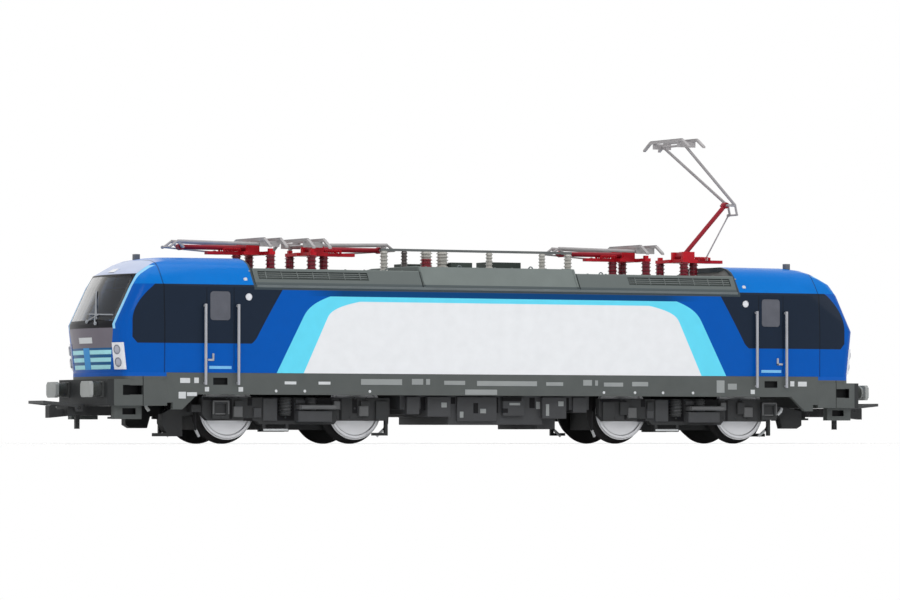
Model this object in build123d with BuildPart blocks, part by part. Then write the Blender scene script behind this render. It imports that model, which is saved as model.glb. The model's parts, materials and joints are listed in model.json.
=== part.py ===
from build123d import *
import os
from math import cos, radians, sin, sqrt

os.makedirs("parts", exist_ok=True)

# A 1:87 scale model of a four-axle electric locomotive. Millimetres, +X along the
# locomotive towards the raised pantograph, +Z up, z = 0 where the wheel flanges stand.

# Running gear
TREAD_RADIUS = 7.2
FLANGE_DEPTH = 1.0
FLANGE_WIDTH = 0.9
WHEEL_WIDTH = 2.8
BACK_TO_BACK = 14.4
AXLE_RADIUS = 1.0
WHEELBASE = 34.5
PIVOT_SPACING = 109.2

# Body
BODY_WIDTH = 34.6
WALL = 1.2
NOSE_X = 105.0
BOW_RADIUS = 45.0
CORNER_RADIUS = 3.0
FLANK_TAPER = 1.3
TAPER_LENGTH = 13.6
SILL_Z = 17.0
WAIST_Z = 28.5
GUTTER_Z = 38.2
ROOF_Z = 44.7
CAB_BACK_X = 67.5

# Windows and lamps
SCREEN_FOOT_Z = 29.4
SCREEN_TOP_Z = 40.2
SCREEN_FOOT_WIDTH = 27.4
SCREEN_TOP_WIDTH = 24.0
SCREEN_CORNER = 1.6
DOOR_X = 77.0
DOOR_WINDOW_WIDTH = 5.4
DOOR_WINDOW_FOOT_Z = 29.5
DOOR_WINDOW_TOP_Z = 36.5
DOOR_WINDOW_CORNER = 0.8
GLASS_GAP = 0.05
LAMP_Z = 20.9
LAMP_HEIGHT = 6.4
LAMP_WIDTH = 3.2
LAMP_EDGE = 0.6
LAMP_PROUD = 0.35

# Roof hoods between the cabs
HOOD_SPLIT_X = 22.0
CENTRE_HOOD_Z = 43.3
END_HOOD_Z = 42.2
HOOD_FOOT_INSET = 0.4
HOOD_LEAN = 3.0
HOOD_GAP = 0.15
VENT_START = 14.5
VENT_INSET = 1.4
VENT_DEPTH = 0.3

# Underframe, headstocks and chassis
SKIRT_Z = 11.8
SKIRT_WALL = 1.2
SKIRT_END_X = 91.0
SKIRT_LUG_X = 87.0
SKIRT_LUG_Z = 8.2
LEDGE_WIDTH = 2.6
LEDGE_DEPTH = 1.4
STEP_WIDTH = 3.6
STEP_Z = 14.2
HEADSTOCK_X = 105.1
HEADSTOCK_FOOT_Z = 9.1
HEADSTOCK_TOP_Z = 15.4
APRON_Z = 5.9
CHASSIS_DEPTH = 2.0
CHASSIS_END_X = 96.0
CHASSIS_FIT = 1.3
BALLAST_GAP = 3.5
BALLAST_WIDTH = 25.0
BALLAST_HEIGHT = 17.0
TANK_GAP = 2.65
TANK_Z = 4.7

# Bogies
PIN_RADIUS = 3.0
PIN_FIT = 0.06
SEAT_GAP = 0.3
SIDE_FRAME_GAP = 1.4
SIDE_FRAME_WALL = 1.8
SIDE_FRAME_Z = 11.2
SIDE_FRAME_DEPTH = 5.6
BOLSTER_LENGTH = 12.0
BOLSTER_DEPTH = 2.4
GEARBOX_WIDTH = 11.6
GEARBOX_Z = 3.4
GEARBOX_TOP_Z = 12.4
AXLE_BOX = 4.4
SPRING_RADIUS = 1.4
GUARD_Z = 2.0

# Buffers and couplers
BUFFER_Y = 10.05
BUFFER_Z = 13.0
BUFFER_REACH = 4.0
BUFFER_WIDTH = 5.6
BUFFER_HEIGHT = 3.8
BUFFER_PLATE = 1.0
COUPLER_SETBACK = 8.1
COUPLER_OVERHANG = 12.3
COUPLER_Z = 7.9
COUPLER_DEPTH = 2.2
LOOP_LENGTH = 9.4
LOOP_WIDTH = 8.8
LOOP_WIRE = 0.7

# Pantographs
PANTO_MID_X = 52.65
PANTO_PIVOT = 8.75
PANTO_PIVOT_Z = 47.6
PANTO_BEAM_Z = 45.9
PANTO_BEAM = 0.8
LOWER_ARM = 18.2
UPPER_ARM = 21.1
FOLDED_ANGLE = 0.0
RAISED_ANGLE = 46.6
FOLDED_LEAN = 2.2
RAISED_LEAN = 44.5
TIP_LENGTH = 2.0
TIP_ANGLE = 44.5
TAIL_LENGTH = 3.5
TAIL_ANGLE = 1.0
KNEE_Y = 1.75
ROD_Y = 2.5
SHAFT_Y = 5.4
HEAD_WIDTH = 22.4
HEAD_LENGTH = 5.2
STRIP_WIDTH = 0.8

# Roof gear
POST_TOP_Z = 47.4
BUSBAR = 0.6
ROOF_GEAR_Y = -4.0

# Handrails
RAIL_X = (72.5, 81.2)
RAIL_FOOT_Z = 14.1
RAIL_TOP_Z = 33.4
RAIL_RADIUS = 0.35
RAIL_STANDOFF = 0.8

# Sizes that follow from the ones above
AXLE_Z = FLANGE_DEPTH + TREAD_RADIUS
HALF_WIDTH = BODY_WIDTH / 2
WHEEL_FACE = BACK_TO_BACK / 2 + WHEEL_WIDTH
FRAME_IN = WHEEL_FACE + SIDE_FRAME_GAP
FRAME_OUT = FRAME_IN + SIDE_FRAME_WALL
PIVOT_X = PIVOT_SPACING / 2
HALF_BASE = WHEELBASE / 2
TANK_HALF = PIVOT_X - HALF_BASE - TREAD_RADIUS - FLANGE_DEPTH - TANK_GAP
BOLSTER_TOP_Z = SILL_Z - SEAT_GAP
CHASSIS_HALF = HALF_WIDTH - WALL - CHASSIS_FIT
FLOOR_Z = SILL_Z + CHASSIS_DEPTH
COUPLER_X = HEADSTOCK_X - COUPLER_SETBACK
COUPLER_REACH = HEADSTOCK_X + COUPLER_OVERHANG
ENDS = {"a": -1, "b": 1}
SIDES = (-1, 1)

# Body plan at each height: height, half width, furthest reach of the nose
BODY_SECTIONS = [
    (SILL_Z, HALF_WIDTH, NOSE_X - 1.3),
    (WAIST_Z, HALF_WIDTH, NOSE_X),
    (GUTTER_Z - 0.6, HALF_WIDTH, NOSE_X - 4.5),
    (ROOF_Z - 4.2, HALF_WIDTH - 2.0, NOSE_X - 6.2),
    (ROOF_Z - 2.7, HALF_WIDTH - 3.0, NOSE_X - 8.8),
    (ROOF_Z - 1.5, HALF_WIDTH - 4.3, NOSE_X - 10.9),
    (ROOF_Z - 0.6, HALF_WIDTH - 6.2, NOSE_X - 13.2),
    (ROOF_Z, HALF_WIDTH - 9.2, NOSE_X - 16.8),
]


def save(part, name):
    part.label = name
    export_step(part, f"parts/{name}.step")


def block(x_span, y_span, z_span, mode=Mode.ADD):
    spans = [sorted(span) for span in (x_span, y_span, z_span)]
    with Locations(tuple(sum(span) / 2 for span in spans)):
        Box(*[span[1] - span[0] for span in spans], mode=mode)


def upright(x, y, z_span, radius, mode=Mode.ADD):
    """Round post."""
    low, high = sorted(z_span)
    with Locations((x, y, (low + high) / 2)):
        Cylinder(radius, high - low, mode=mode)


def cross_rod(x, z, y_span, radius, mode=Mode.ADD):
    """Round bar across the locomotive."""
    low, high = sorted(y_span)
    with Locations(Location((x, (low + high) / 2, z), (90, 0, 0))):
        Cylinder(radius, high - low, mode=mode)


def bar(start, end, radius, sides=8):
    """Straight bar of many-sided section between two points."""
    start, end = Vector(*start), Vector(*end)
    with BuildPart() as made:
        with BuildSketch(Plane(origin=start, z_dir=end - start)):
            RegularPolygon(radius, sides)
        extrude(amount=(end - start).length)
    return made.part


def side_plane(x=0.0, y=0.0, facing=1):
    """Upright plane along the locomotive: its own x runs outwards, its own y is height."""
    return Plane(origin=(x, y, 0), x_dir=(facing, 0, 0), z_dir=(0, -facing, 0))


def outline(points, mirrored=False):
    """Closed outline on a sketch; a mirrored one is given by the half on its own +x side."""
    if mirrored:
        points = points + [(-u, v) for u, v in reversed(points)]
    with BuildSketch(mode=Mode.PRIVATE) as shape:
        with BuildLine():
            Polyline(*points, close=True)
        make_face()
    return shape.sketch


# Body shell: a hollow moulding lofted through its plans, open underneath and between the cabs
def body_section(height, half_width, nose_x, radius):
    flank_y = half_width - FLANK_TAPER
    corner_x = nose_x - BOW_RADIUS + sqrt(BOW_RADIUS**2 - flank_y**2)
    shoulder_x = nose_x - TAPER_LENGTH
    with BuildSketch(Plane.XY.offset(height)) as section:
        with BuildLine():
            for way in (1, -1):
                Polyline(
                    (way * -corner_x, way * -flank_y),
                    (way * -shoulder_x, way * -half_width),
                    (way * shoulder_x, way * -half_width),
                    (way * corner_x, way * -flank_y),
                )
                ThreePointArc(
                    (way * corner_x, way * -flank_y),
                    (way * nose_x, 0),
                    (way * corner_x, way * flank_y),
                )
        make_face()
        if radius:
            corners = section.vertices().group_by(Axis.X)
            fillet(corners[0] + corners[-1], radius)
    return section.sketch


def body_block(inset=0.0, drop=0.0, radius=CORNER_RADIUS):
    """The body as a full block, set in all round by `inset` and lengthened downwards."""
    sections = []
    for i, (height, half_width, nose_x) in enumerate(BODY_SECTIONS):
        first, last = i == 0, i == len(BODY_SECTIONS) - 1
        level = height - (drop if first else inset if last else 0.0)
        sections.append(body_section(level, half_width - inset, nose_x - inset, radius))
    with BuildPart() as whole:
        loft(sections=sections, ruled=True)
    return whole.part


def window_prisms(gap=0.0):
    """Windscreen and door-window openings, each made smaller all round by `gap`."""
    with BuildPart() as prisms:
        with BuildSketch(Plane.YZ):
            foot = (SCREEN_FOOT_WIDTH / 2 - gap, SCREEN_FOOT_Z + gap)
            top = (SCREEN_TOP_WIDTH / 2 - gap, SCREEN_TOP_Z - gap)
            screen = add(outline([foot, top], mirrored=True))
            fillet(screen.vertices(), SCREEN_CORNER)
        extrude(amount=NOSE_X + 1, both=True)
        middle_z = (DOOR_WINDOW_TOP_Z + DOOR_WINDOW_FOOT_Z) / 2
        with BuildSketch(Plane.XZ):
            with Locations(*[(end * DOOR_X, middle_z) for end in ENDS.values()]):
                RectangleRounded(
                    DOOR_WINDOW_WIDTH - 2 * gap,
                    DOOR_WINDOW_TOP_Z - DOOR_WINDOW_FOOT_Z - 2 * gap,
                    DOOR_WINDOW_CORNER,
                )
        extrude(amount=HALF_WIDTH + 1, both=True)
    return prisms.part


with BuildPart() as body_wall:
    add(body_block())
    add(body_block(WALL, 1.0, 0), mode=Mode.SUBTRACT)
    block(
        (-CAB_BACK_X, CAB_BACK_X),
        (-HALF_WIDTH - 1, HALF_WIDTH + 1),
        (GUTTER_Z, ROOF_Z + 1),
        Mode.SUBTRACT,
    )

with BuildPart() as body_shell:
    add(body_wall.part)
    add(window_prisms(), mode=Mode.SUBTRACT)
save(body_shell.part, "body_shell")

with BuildPart() as glazing:
    add(body_wall.part)
    add(window_prisms(GLASS_GAP), mode=Mode.INTERSECT)
save(glazing.part, "glazing")

# Lamp covers stand a little proud of the nose and follow its curve
with BuildPart() as headlamps:
    add(body_block(-LAMP_PROUD))
    lamp_y = HALF_WIDTH - FLANK_TAPER - LAMP_EDGE - LAMP_WIDTH / 2
    with BuildSketch(Plane.YZ):
        with Locations((-lamp_y, LAMP_Z), (lamp_y, LAMP_Z)):
            Rectangle(LAMP_WIDTH, LAMP_HEIGHT)
        with Locations((0, SCREEN_TOP_Z + 1.4)):
            Rectangle(LAMP_WIDTH, 0.9)
    extrude(amount=NOSE_X + 1, both=True, mode=Mode.INTERSECT)
    add(body_block(), mode=Mode.SUBTRACT)
save(headlamps.part, "headlamps")

# Roof hoods: name, ends along X, height of the top, side of the vents
HOODS = [
    ("roof_hood_a", -CAB_BACK_X, -HOOD_SPLIT_X, END_HOOD_Z, -1),
    ("roof_hood_centre", -HOOD_SPLIT_X, HOOD_SPLIT_X, CENTRE_HOOD_Z, 0),
    ("roof_hood_b", HOOD_SPLIT_X, CAB_BACK_X, END_HOOD_Z, 1),
]
HOOD_FOOT = HALF_WIDTH - HOOD_FOOT_INSET
HOOD_SLOPE = HOOD_LEAN / (CENTRE_HOOD_Z - GUTTER_Z)


def hood_outline(foot_z, top_z, inset):
    """Section of a hood between two heights, with its sides set in."""
    return outline(
        [
            (HOOD_FOOT - HOOD_SLOPE * (foot_z - GUTTER_Z) - inset, foot_z),
            (HOOD_FOOT - HOOD_SLOPE * (top_z - GUTTER_Z) - inset, top_z),
        ],
        mirrored=True,
    )


for name, start_x, end_x, top_z, vents in HOODS:
    with BuildPart() as hood:
        with BuildSketch(Plane.YZ.offset(start_x + HOOD_GAP)):
            add(hood_outline(GUTTER_Z, top_z, 0))
            add(hood_outline(GUTTER_Z, top_z - WALL, WALL), mode=Mode.SUBTRACT)
        extrude(amount=end_x - start_x - 2 * HOOD_GAP)
        if vents:
            inner_x = vents * (HOOD_SPLIT_X + VENT_START)
            with BuildSketch(Plane.YZ.offset(inner_x)):
                band = (GUTTER_Z + VENT_INSET, top_z - VENT_INSET / 2)
                add(hood_outline(*band, -1))
                add(hood_outline(*band, VENT_DEPTH), mode=Mode.SUBTRACT)
            extrude(amount=vents * (CAB_BACK_X - VENT_INSET) - inner_x, mode=Mode.SUBTRACT)
    save(hood.part, name)

# Side skirts: a ledge carries the chassis floor, a lug hangs beside each cab, a step is let in
with BuildPart() as side_skirts:
    lug_x = SKIRT_LUG_X + 2.5
    skirt_end_z = SKIRT_LUG_Z + 1.6
    for side in SIDES:
        with BuildSketch(side_plane(y=side * (HALF_WIDTH - SKIRT_WALL / 2))):
            add(
                outline(
                    [
                        (SKIRT_END_X, SILL_Z),
                        (SKIRT_END_X, skirt_end_z),
                        (lug_x, skirt_end_z),
                        (lug_x, SKIRT_LUG_Z),
                        (SKIRT_LUG_X, SKIRT_LUG_Z),
                        (SKIRT_LUG_X - 4.0, SKIRT_Z),
                    ],
                    mirrored=True,
                )
            )
        extrude(amount=SKIRT_WALL / 2, both=True)
        inner = HALF_WIDTH - SKIRT_WALL
        block(
            (-SKIRT_END_X, SKIRT_END_X),
            (side * inner, side * (inner - LEDGE_WIDTH)),
            (SILL_Z - LEDGE_DEPTH, SILL_Z),
        )
        for end in ENDS.values():
            block(
                (end * DOOR_X - STEP_WIDTH / 2, end * DOOR_X + STEP_WIDTH / 2),
                (side * (HALF_WIDTH - 0.7), side * (HALF_WIDTH + 1)),
                (STEP_Z, STEP_Z + 1.5),
                Mode.SUBTRACT,
            )
save(side_skirts.part, "side_skirts")

# Headstocks: the block behind the buffers, its riser under the nose, its aprons and coupler post
with BuildPart() as headstocks:
    add(body_section(HEADSTOCK_TOP_Z, *BODY_SECTIONS[0][1:], CORNER_RADIUS))
    extrude(amount=SILL_Z - HEADSTOCK_TOP_Z)
    with BuildSketch(Plane.XY.offset(HEADSTOCK_FOOT_Z)):
        add(
            outline(
                [
                    (HEADSTOCK_X, -HALF_WIDTH + 3.1),
                    (HEADSTOCK_X, HALF_WIDTH - 3.1),
                    (HEADSTOCK_X - 7, HALF_WIDTH - 0.9),
                    (SKIRT_END_X, HALF_WIDTH),
                    (-SKIRT_END_X, HALF_WIDTH),
                    (-HEADSTOCK_X + 7, HALF_WIDTH - 0.9),
                    (-HEADSTOCK_X, HALF_WIDTH - 3.1),
                    (-HEADSTOCK_X, -HALF_WIDTH + 3.1),
                    (-HEADSTOCK_X + 7, -HALF_WIDTH + 0.9),
                    (-SKIRT_END_X, -HALF_WIDTH),
                    (SKIRT_END_X, -HALF_WIDTH),
                    (HEADSTOCK_X - 7, -HALF_WIDTH + 0.9),
                ]
            )
        )
    extrude(amount=HEADSTOCK_TOP_Z - HEADSTOCK_FOOT_Z)
    block(
        (-SKIRT_END_X, SKIRT_END_X),
        (-HALF_WIDTH - 1, HALF_WIDTH + 1),
        (HEADSTOCK_FOOT_Z - 1, SILL_Z + 1),
        Mode.SUBTRACT,
    )
    for end in ENDS.values():
        for side in SIDES:
            apron_y = HALF_WIDTH - 3.6
            block(
                (end * (HEADSTOCK_X - 9.1), end * (HEADSTOCK_X - 2.1)),
                (side * (apron_y - 2.0), side * apron_y),
                (APRON_Z, HEADSTOCK_FOOT_Z),
            )
            block(
                (end * (HEADSTOCK_X - 7.6), end * (HEADSTOCK_X - 4.1)),
                (side * (apron_y - 1.2), side * (apron_y + 1)),
                (APRON_Z + 1.1, HEADSTOCK_FOOT_Z - 0.6),
                Mode.SUBTRACT,
            )
            block(
                (end * (HEADSTOCK_X - 8.1), end * (HEADSTOCK_X - 3.6)),
                (side * (HALF_WIDTH - 3.2), side * (HALF_WIDTH + 1)),
                (HEADSTOCK_FOOT_Z + 2.6, HEADSTOCK_FOOT_Z + 4.8),
                Mode.SUBTRACT,
            )
        foot_z = COUPLER_Z - COUPLER_DEPTH / 2 - SEAT_GAP
        upright(end * COUPLER_X, 0, (foot_z, HEADSTOCK_FOOT_Z), 0.8)
        add(bar((end * COUPLER_X, 0, foot_z - 0.5), (end * COUPLER_X, 0, foot_z), 1.6, 12))
save(headstocks.part, "headstocks")

# Chassis floor, the pivot pins under it and the weight that stands on it
with BuildPart() as chassis_floor:
    block((-CHASSIS_END_X, CHASSIS_END_X), (-CHASSIS_HALF, CHASSIS_HALF), (SILL_Z, FLOOR_Z))
save(chassis_floor.part, "chassis_floor")

with BuildPart() as bogie_pins:
    for end in ENDS.values():
        upright(end * PIVOT_X, 0, (GEARBOX_TOP_Z + SEAT_GAP, SILL_Z), PIN_RADIUS)
save(bogie_pins.part, "bogie_pins")

with BuildPart() as ballast_block:
    block(
        (-CAB_BACK_X + BALLAST_GAP, CAB_BACK_X - BALLAST_GAP),
        (-BALLAST_WIDTH / 2, BALLAST_WIDTH / 2),
        (FLOOR_Z, FLOOR_Z + BALLAST_HEIGHT),
    )
save(ballast_block.part, "ballast_block")

# Cab desks and bulkheads, seen through the windows
with BuildPart() as cab_interiors:
    for end in ENDS.values():
        with BuildSketch(side_plane(facing=end)):
            add(
                outline(
                    [
                        (CHASSIS_END_X - 3, FLOOR_Z),
                        (CHASSIS_END_X, FLOOR_Z),
                        (CHASSIS_END_X + 1, WAIST_Z),
                        (CHASSIS_END_X - 6, WAIST_Z - 1),
                        (CHASSIS_END_X - 6, WAIST_Z - 2),
                        (CHASSIS_END_X - 3, WAIST_Z - 3),
                    ]
                )
            )
        extrude(amount=CHASSIS_HALF - 2, both=True)
        block(
            (end * (CAB_BACK_X + 1), end * (CAB_BACK_X + 2)),
            (-CHASSIS_HALF, CHASSIS_HALF),
            (FLOOR_Z, GUTTER_Z),
        )
save(cab_interiors.part, "cab_interiors")

# Underfloor boxes between the bogies: share of the half length, length, how far they stand out, foot
TANK_BOXES = [
    (-0.887, 3.4, 1.2, TANK_Z + 2.5),
    (-0.615, 6.4, 1.2, TANK_Z + 1.9),
    (-0.208, 11.0, 0.7, TANK_Z + 0.8),
    (0.174, 6.0, 1.0, TANK_Z + 2.2),
    (0.604, 6.8, 1.2, TANK_Z + 1.5),
    (0.891, 3.8, 0.6, TANK_Z + 3.0),
]
with BuildPart() as underfloor_tank:
    tank_y = HALF_WIDTH - SKIRT_WALL - LEDGE_WIDTH - 0.4
    block((-TANK_HALF, TANK_HALF), (-tank_y, tank_y), (TANK_Z + 3.7, SILL_Z))
    block((-TANK_HALF * 0.5, TANK_HALF * 0.5), (-tank_y, tank_y), (TANK_Z, SKIRT_Z))
    block((TANK_HALF * 0.5, TANK_HALF * 0.7), (-tank_y + 3, tank_y - 3), (TANK_Z - 1.1, SKIRT_Z))
    for share, length, proud, foot_z in TANK_BOXES:
        middle_x = share * TANK_HALF
        block(
            (middle_x - length / 2, middle_x + length / 2),
            (-tank_y - proud, tank_y + proud),
            (foot_z, SKIRT_Z - SEAT_GAP),
        )
save(underfloor_tank.part, "underfloor_tank")

# Raised blocks on the bogie side frames: place from the middle outwards, length, foot
FRAME_BLOCKS = [
    (HALF_BASE - 1.5, 2.2, AXLE_Z - 0.8),
    (-HALF_BASE + 6.5, 1.8, AXLE_Z),
    (-HALF_BASE - 1.0, 2.4, AXLE_Z - 1.0),
    (-HALF_BASE - 5.6, 3.2, AXLE_Z - 2.6),
]

# Guards in front of the outer wheels: outlines from the end of the side frame outwards
ARM_Z = (AXLE_Z - 0.6, SIDE_FRAME_Z - 1.8)
GUARD_TOP = [(2.8, AXLE_Z - 1.6), (0, AXLE_Z - 1.2), (0, ARM_Z[1]), (4.0, ARM_Z[1])]
GUARDS = {
    1: GUARD_TOP
    + [
        (8.2, ARM_Z[0] - 0.4),
        (8.2, GUARD_Z + 2.6),
        (7.0, GUARD_Z + 0.6),
        (9.8, GUARD_Z + 0.6),
        (9.8, GUARD_Z - 0.2),
        (2.8, GUARD_Z - 0.2),
    ],
    -1: GUARD_TOP
    + [
        (9.4, ARM_Z[0] + 0.6),
        (9.4, GUARD_Z + 2.6),
        (8.0, GUARD_Z + 1.8),
        (3.6, GUARD_Z + 1.8),
    ],
}

# Bogies: an open frame round a gear case, hung on a pin through its bolster
for tag, end in ENDS.items():
    centre_x = end * PIVOT_X

    def along(start, stop):
        return (centre_x + end * start, centre_x + end * stop)

    with BuildPart() as frame:
        neck = GEARBOX_WIDTH / 2 + 2.8
        frame_foot_z = SIDE_FRAME_Z - SIDE_FRAME_DEPTH
        bolster_foot_z = SIDE_FRAME_Z - BOLSTER_DEPTH
        with BuildSketch(Plane.YZ.offset(centre_x)):
            add(
                outline(
                    [
                        (FRAME_IN, bolster_foot_z),
                        (FRAME_IN, SIDE_FRAME_Z),
                        (neck, GEARBOX_TOP_Z),
                        (neck, BOLSTER_TOP_Z),
                    ],
                    mirrored=True,
                )
            )
        extrude(amount=BOLSTER_LENGTH / 2, both=True)
        block(
            along(-BOLSTER_LENGTH, BOLSTER_LENGTH),
            (-GEARBOX_WIDTH / 2, GEARBOX_WIDTH / 2),
            (0, GEARBOX_TOP_Z),
            Mode.SUBTRACT,
        )
        bore_z = (GEARBOX_TOP_Z - 1, BOLSTER_TOP_Z + 1)
        upright(centre_x, 0, bore_z, PIN_RADIUS + PIN_FIT, Mode.SUBTRACT)
        box = AXLE_BOX / 2
        reach = HALF_BASE + 9.1
        guard_y = FRAME_IN - 1.0
        for side in SIDES:
            with BuildSketch(side_plane(centre_x, side * (FRAME_IN + FRAME_OUT) / 2, end)):
                add(
                    outline(
                        [
                            (HALF_BASE + 8.0, SIDE_FRAME_Z),
                            (HALF_BASE + 8.0, frame_foot_z + 1.4),
                            (HALF_BASE + 6.6, frame_foot_z),
                            (HALF_BASE - 6.4, frame_foot_z),
                            (HALF_BASE - 7.2, frame_foot_z - 0.9),
                        ],
                        mirrored=True,
                    )
                )
            extrude(amount=SIDE_FRAME_WALL / 2, both=True)
            # A cover box with a sunk middle beside the outer axle, further out on one side
            cover_x = HALF_BASE + (3.5 if side * end > 0 else 6.6)
            for size, depth, mode in ((box, 0.9, Mode.ADD), (box - 0.8, 0.5, Mode.SUBTRACT)):
                block(
                    along(cover_x - size, cover_x + size),
                    (side * (FRAME_OUT + 0.9), side * (FRAME_OUT + 0.9 - depth)),
                    (AXLE_Z - size, AXLE_Z + size),
                    mode,
                )
            for place, length, foot_z in FRAME_BLOCKS:
                block(
                    along(place - length / 2, place + length / 2),
                    (side * FRAME_OUT, side * (FRAME_OUT + 0.6)),
                    (foot_z, SIDE_FRAME_Z - 0.8),
                )
            for spring in (-1, 1):
                spring_x = centre_x + spring * 3.4
                spring_y = side * (FRAME_OUT + 0.4)
                add(
                    bar(
                        (spring_x, spring_y, AXLE_Z - 1.4),
                        (spring_x, spring_y, SIDE_FRAME_Z),
                        SPRING_RADIUS,
                        12,
                    )
                )
            # A damper on one side of the middle, a low bar on two straps on the other
            damper_y = side * (FRAME_OUT + 0.5)
            damper_z = AXLE_Z + 0.7
            add(
                bar(
                    (centre_x - side * 4.0, damper_y, damper_z),
                    (centre_x - side * 9.4, damper_y, damper_z),
                    0.55,
                )
            )
            strap_y = (side * (FRAME_OUT - 0.9), side * FRAME_OUT)
            low_bar_z = (GUARD_Z + 0.95, GUARD_Z + 1.8)
            block((centre_x + side * 2.2, centre_x + side * 9.2), strap_y, low_bar_z)
            for strap_x in (2.6, 8.8):
                block(
                    (centre_x + side * strap_x - 0.4, centre_x + side * strap_x + 0.4),
                    strap_y,
                    (low_bar_z[0], AXLE_Z),
                )
            # A strut beside the inner wheel on one side of the bogie, the outer wheel on the other
            strut_y = (side * FRAME_IN, side * (FRAME_IN + 0.9))
            strut_x = -side * end * (HALF_BASE + 8.0)
            block(along(strut_x, strut_x + side * end * 0.8), strut_y, (GUARD_Z, frame_foot_z + 2.0))
            if side * end > 0:
                block(along(strut_x, strut_x + 4.2), strut_y, (GUARD_Z, GUARD_Z + 0.7))
            # Outer end: arm and a guard in front of the wheel, with a flat foot on one side
            block(
                along(HALF_BASE + 7.0, reach + 1.6),
                (side * FRAME_IN, side * (FRAME_IN + 1.4)),
                ARM_Z,
            )
            block(
                along(reach, reach + 1.6),
                (side * (guard_y - 0.5), side * (FRAME_IN + 0.5)),
                ARM_Z,
            )
            with BuildSketch(side_plane(centre_x, side * (guard_y - 1.2), end)):
                add(outline([(reach + u, z) for u, z in GUARDS[side * end]]))
            extrude(amount=1.2, both=True)
    save(frame.part, f"bogie_frame_{tag}")

    with BuildPart() as gearbox:
        block(
            along(-HALF_BASE - 5.6, HALF_BASE + 5.6),
            (-GEARBOX_WIDTH / 2, GEARBOX_WIDTH / 2),
            (GEARBOX_Z, GEARBOX_TOP_Z),
        )
        for axle in (-1, 1):
            cross_rod(
                centre_x + axle * HALF_BASE,
                AXLE_Z,
                (-GEARBOX_WIDTH, GEARBOX_WIDTH),
                AXLE_RADIUS + PIN_FIT,
                Mode.SUBTRACT,
            )
    save(gearbox.part, f"bogie_gearbox_{tag}")

    # Axle and both wheels turned in one piece; the axle runs in the gear case
    for axle in (-1, 1):
        axle_x = centre_x + axle * HALF_BASE
        with BuildPart() as wheelset:
            with BuildSketch(Plane(origin=(axle_x, 0, AXLE_Z), x_dir=(0, 1, 0), z_dir=(1, 0, 0))):
                back = BACK_TO_BACK / 2
                add(
                    outline(
                        [
                            (back, AXLE_RADIUS),
                            (back, TREAD_RADIUS + FLANGE_DEPTH),
                            (back + FLANGE_WIDTH, TREAD_RADIUS),
                            (WHEEL_FACE, TREAD_RADIUS),
                            (WHEEL_FACE, 0),
                        ],
                        mirrored=True,
                    )
                )
            revolve(axis=Axis((axle_x, 0, AXLE_Z), (0, 1, 0)))
        number = 1 + list(ENDS).index(tag) * 2 + (axle + 1) // 2
        save(wheelset.part, f"wheelset_{number}")

# Buffers
with BuildPart() as buffers:
    for end in ENDS.values():
        plate_x = end * (HEADSTOCK_X + BUFFER_REACH - BUFFER_PLATE)
        for side in SIDES:
            shank = (side * BUFFER_Y, BUFFER_Z)
            add(bar((end * HEADSTOCK_X, *shank), (plate_x, *shank), 1.7, 12))
            with BuildSketch(Plane.YZ.offset(plate_x)):
                with Locations(shank):
                    plate = Rectangle(BUFFER_WIDTH, BUFFER_HEIGHT)
                chamfer(plate.vertices(), 0.6)
            extrude(amount=end * BUFFER_PLATE)
save(buffers.part, "buffers")

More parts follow.
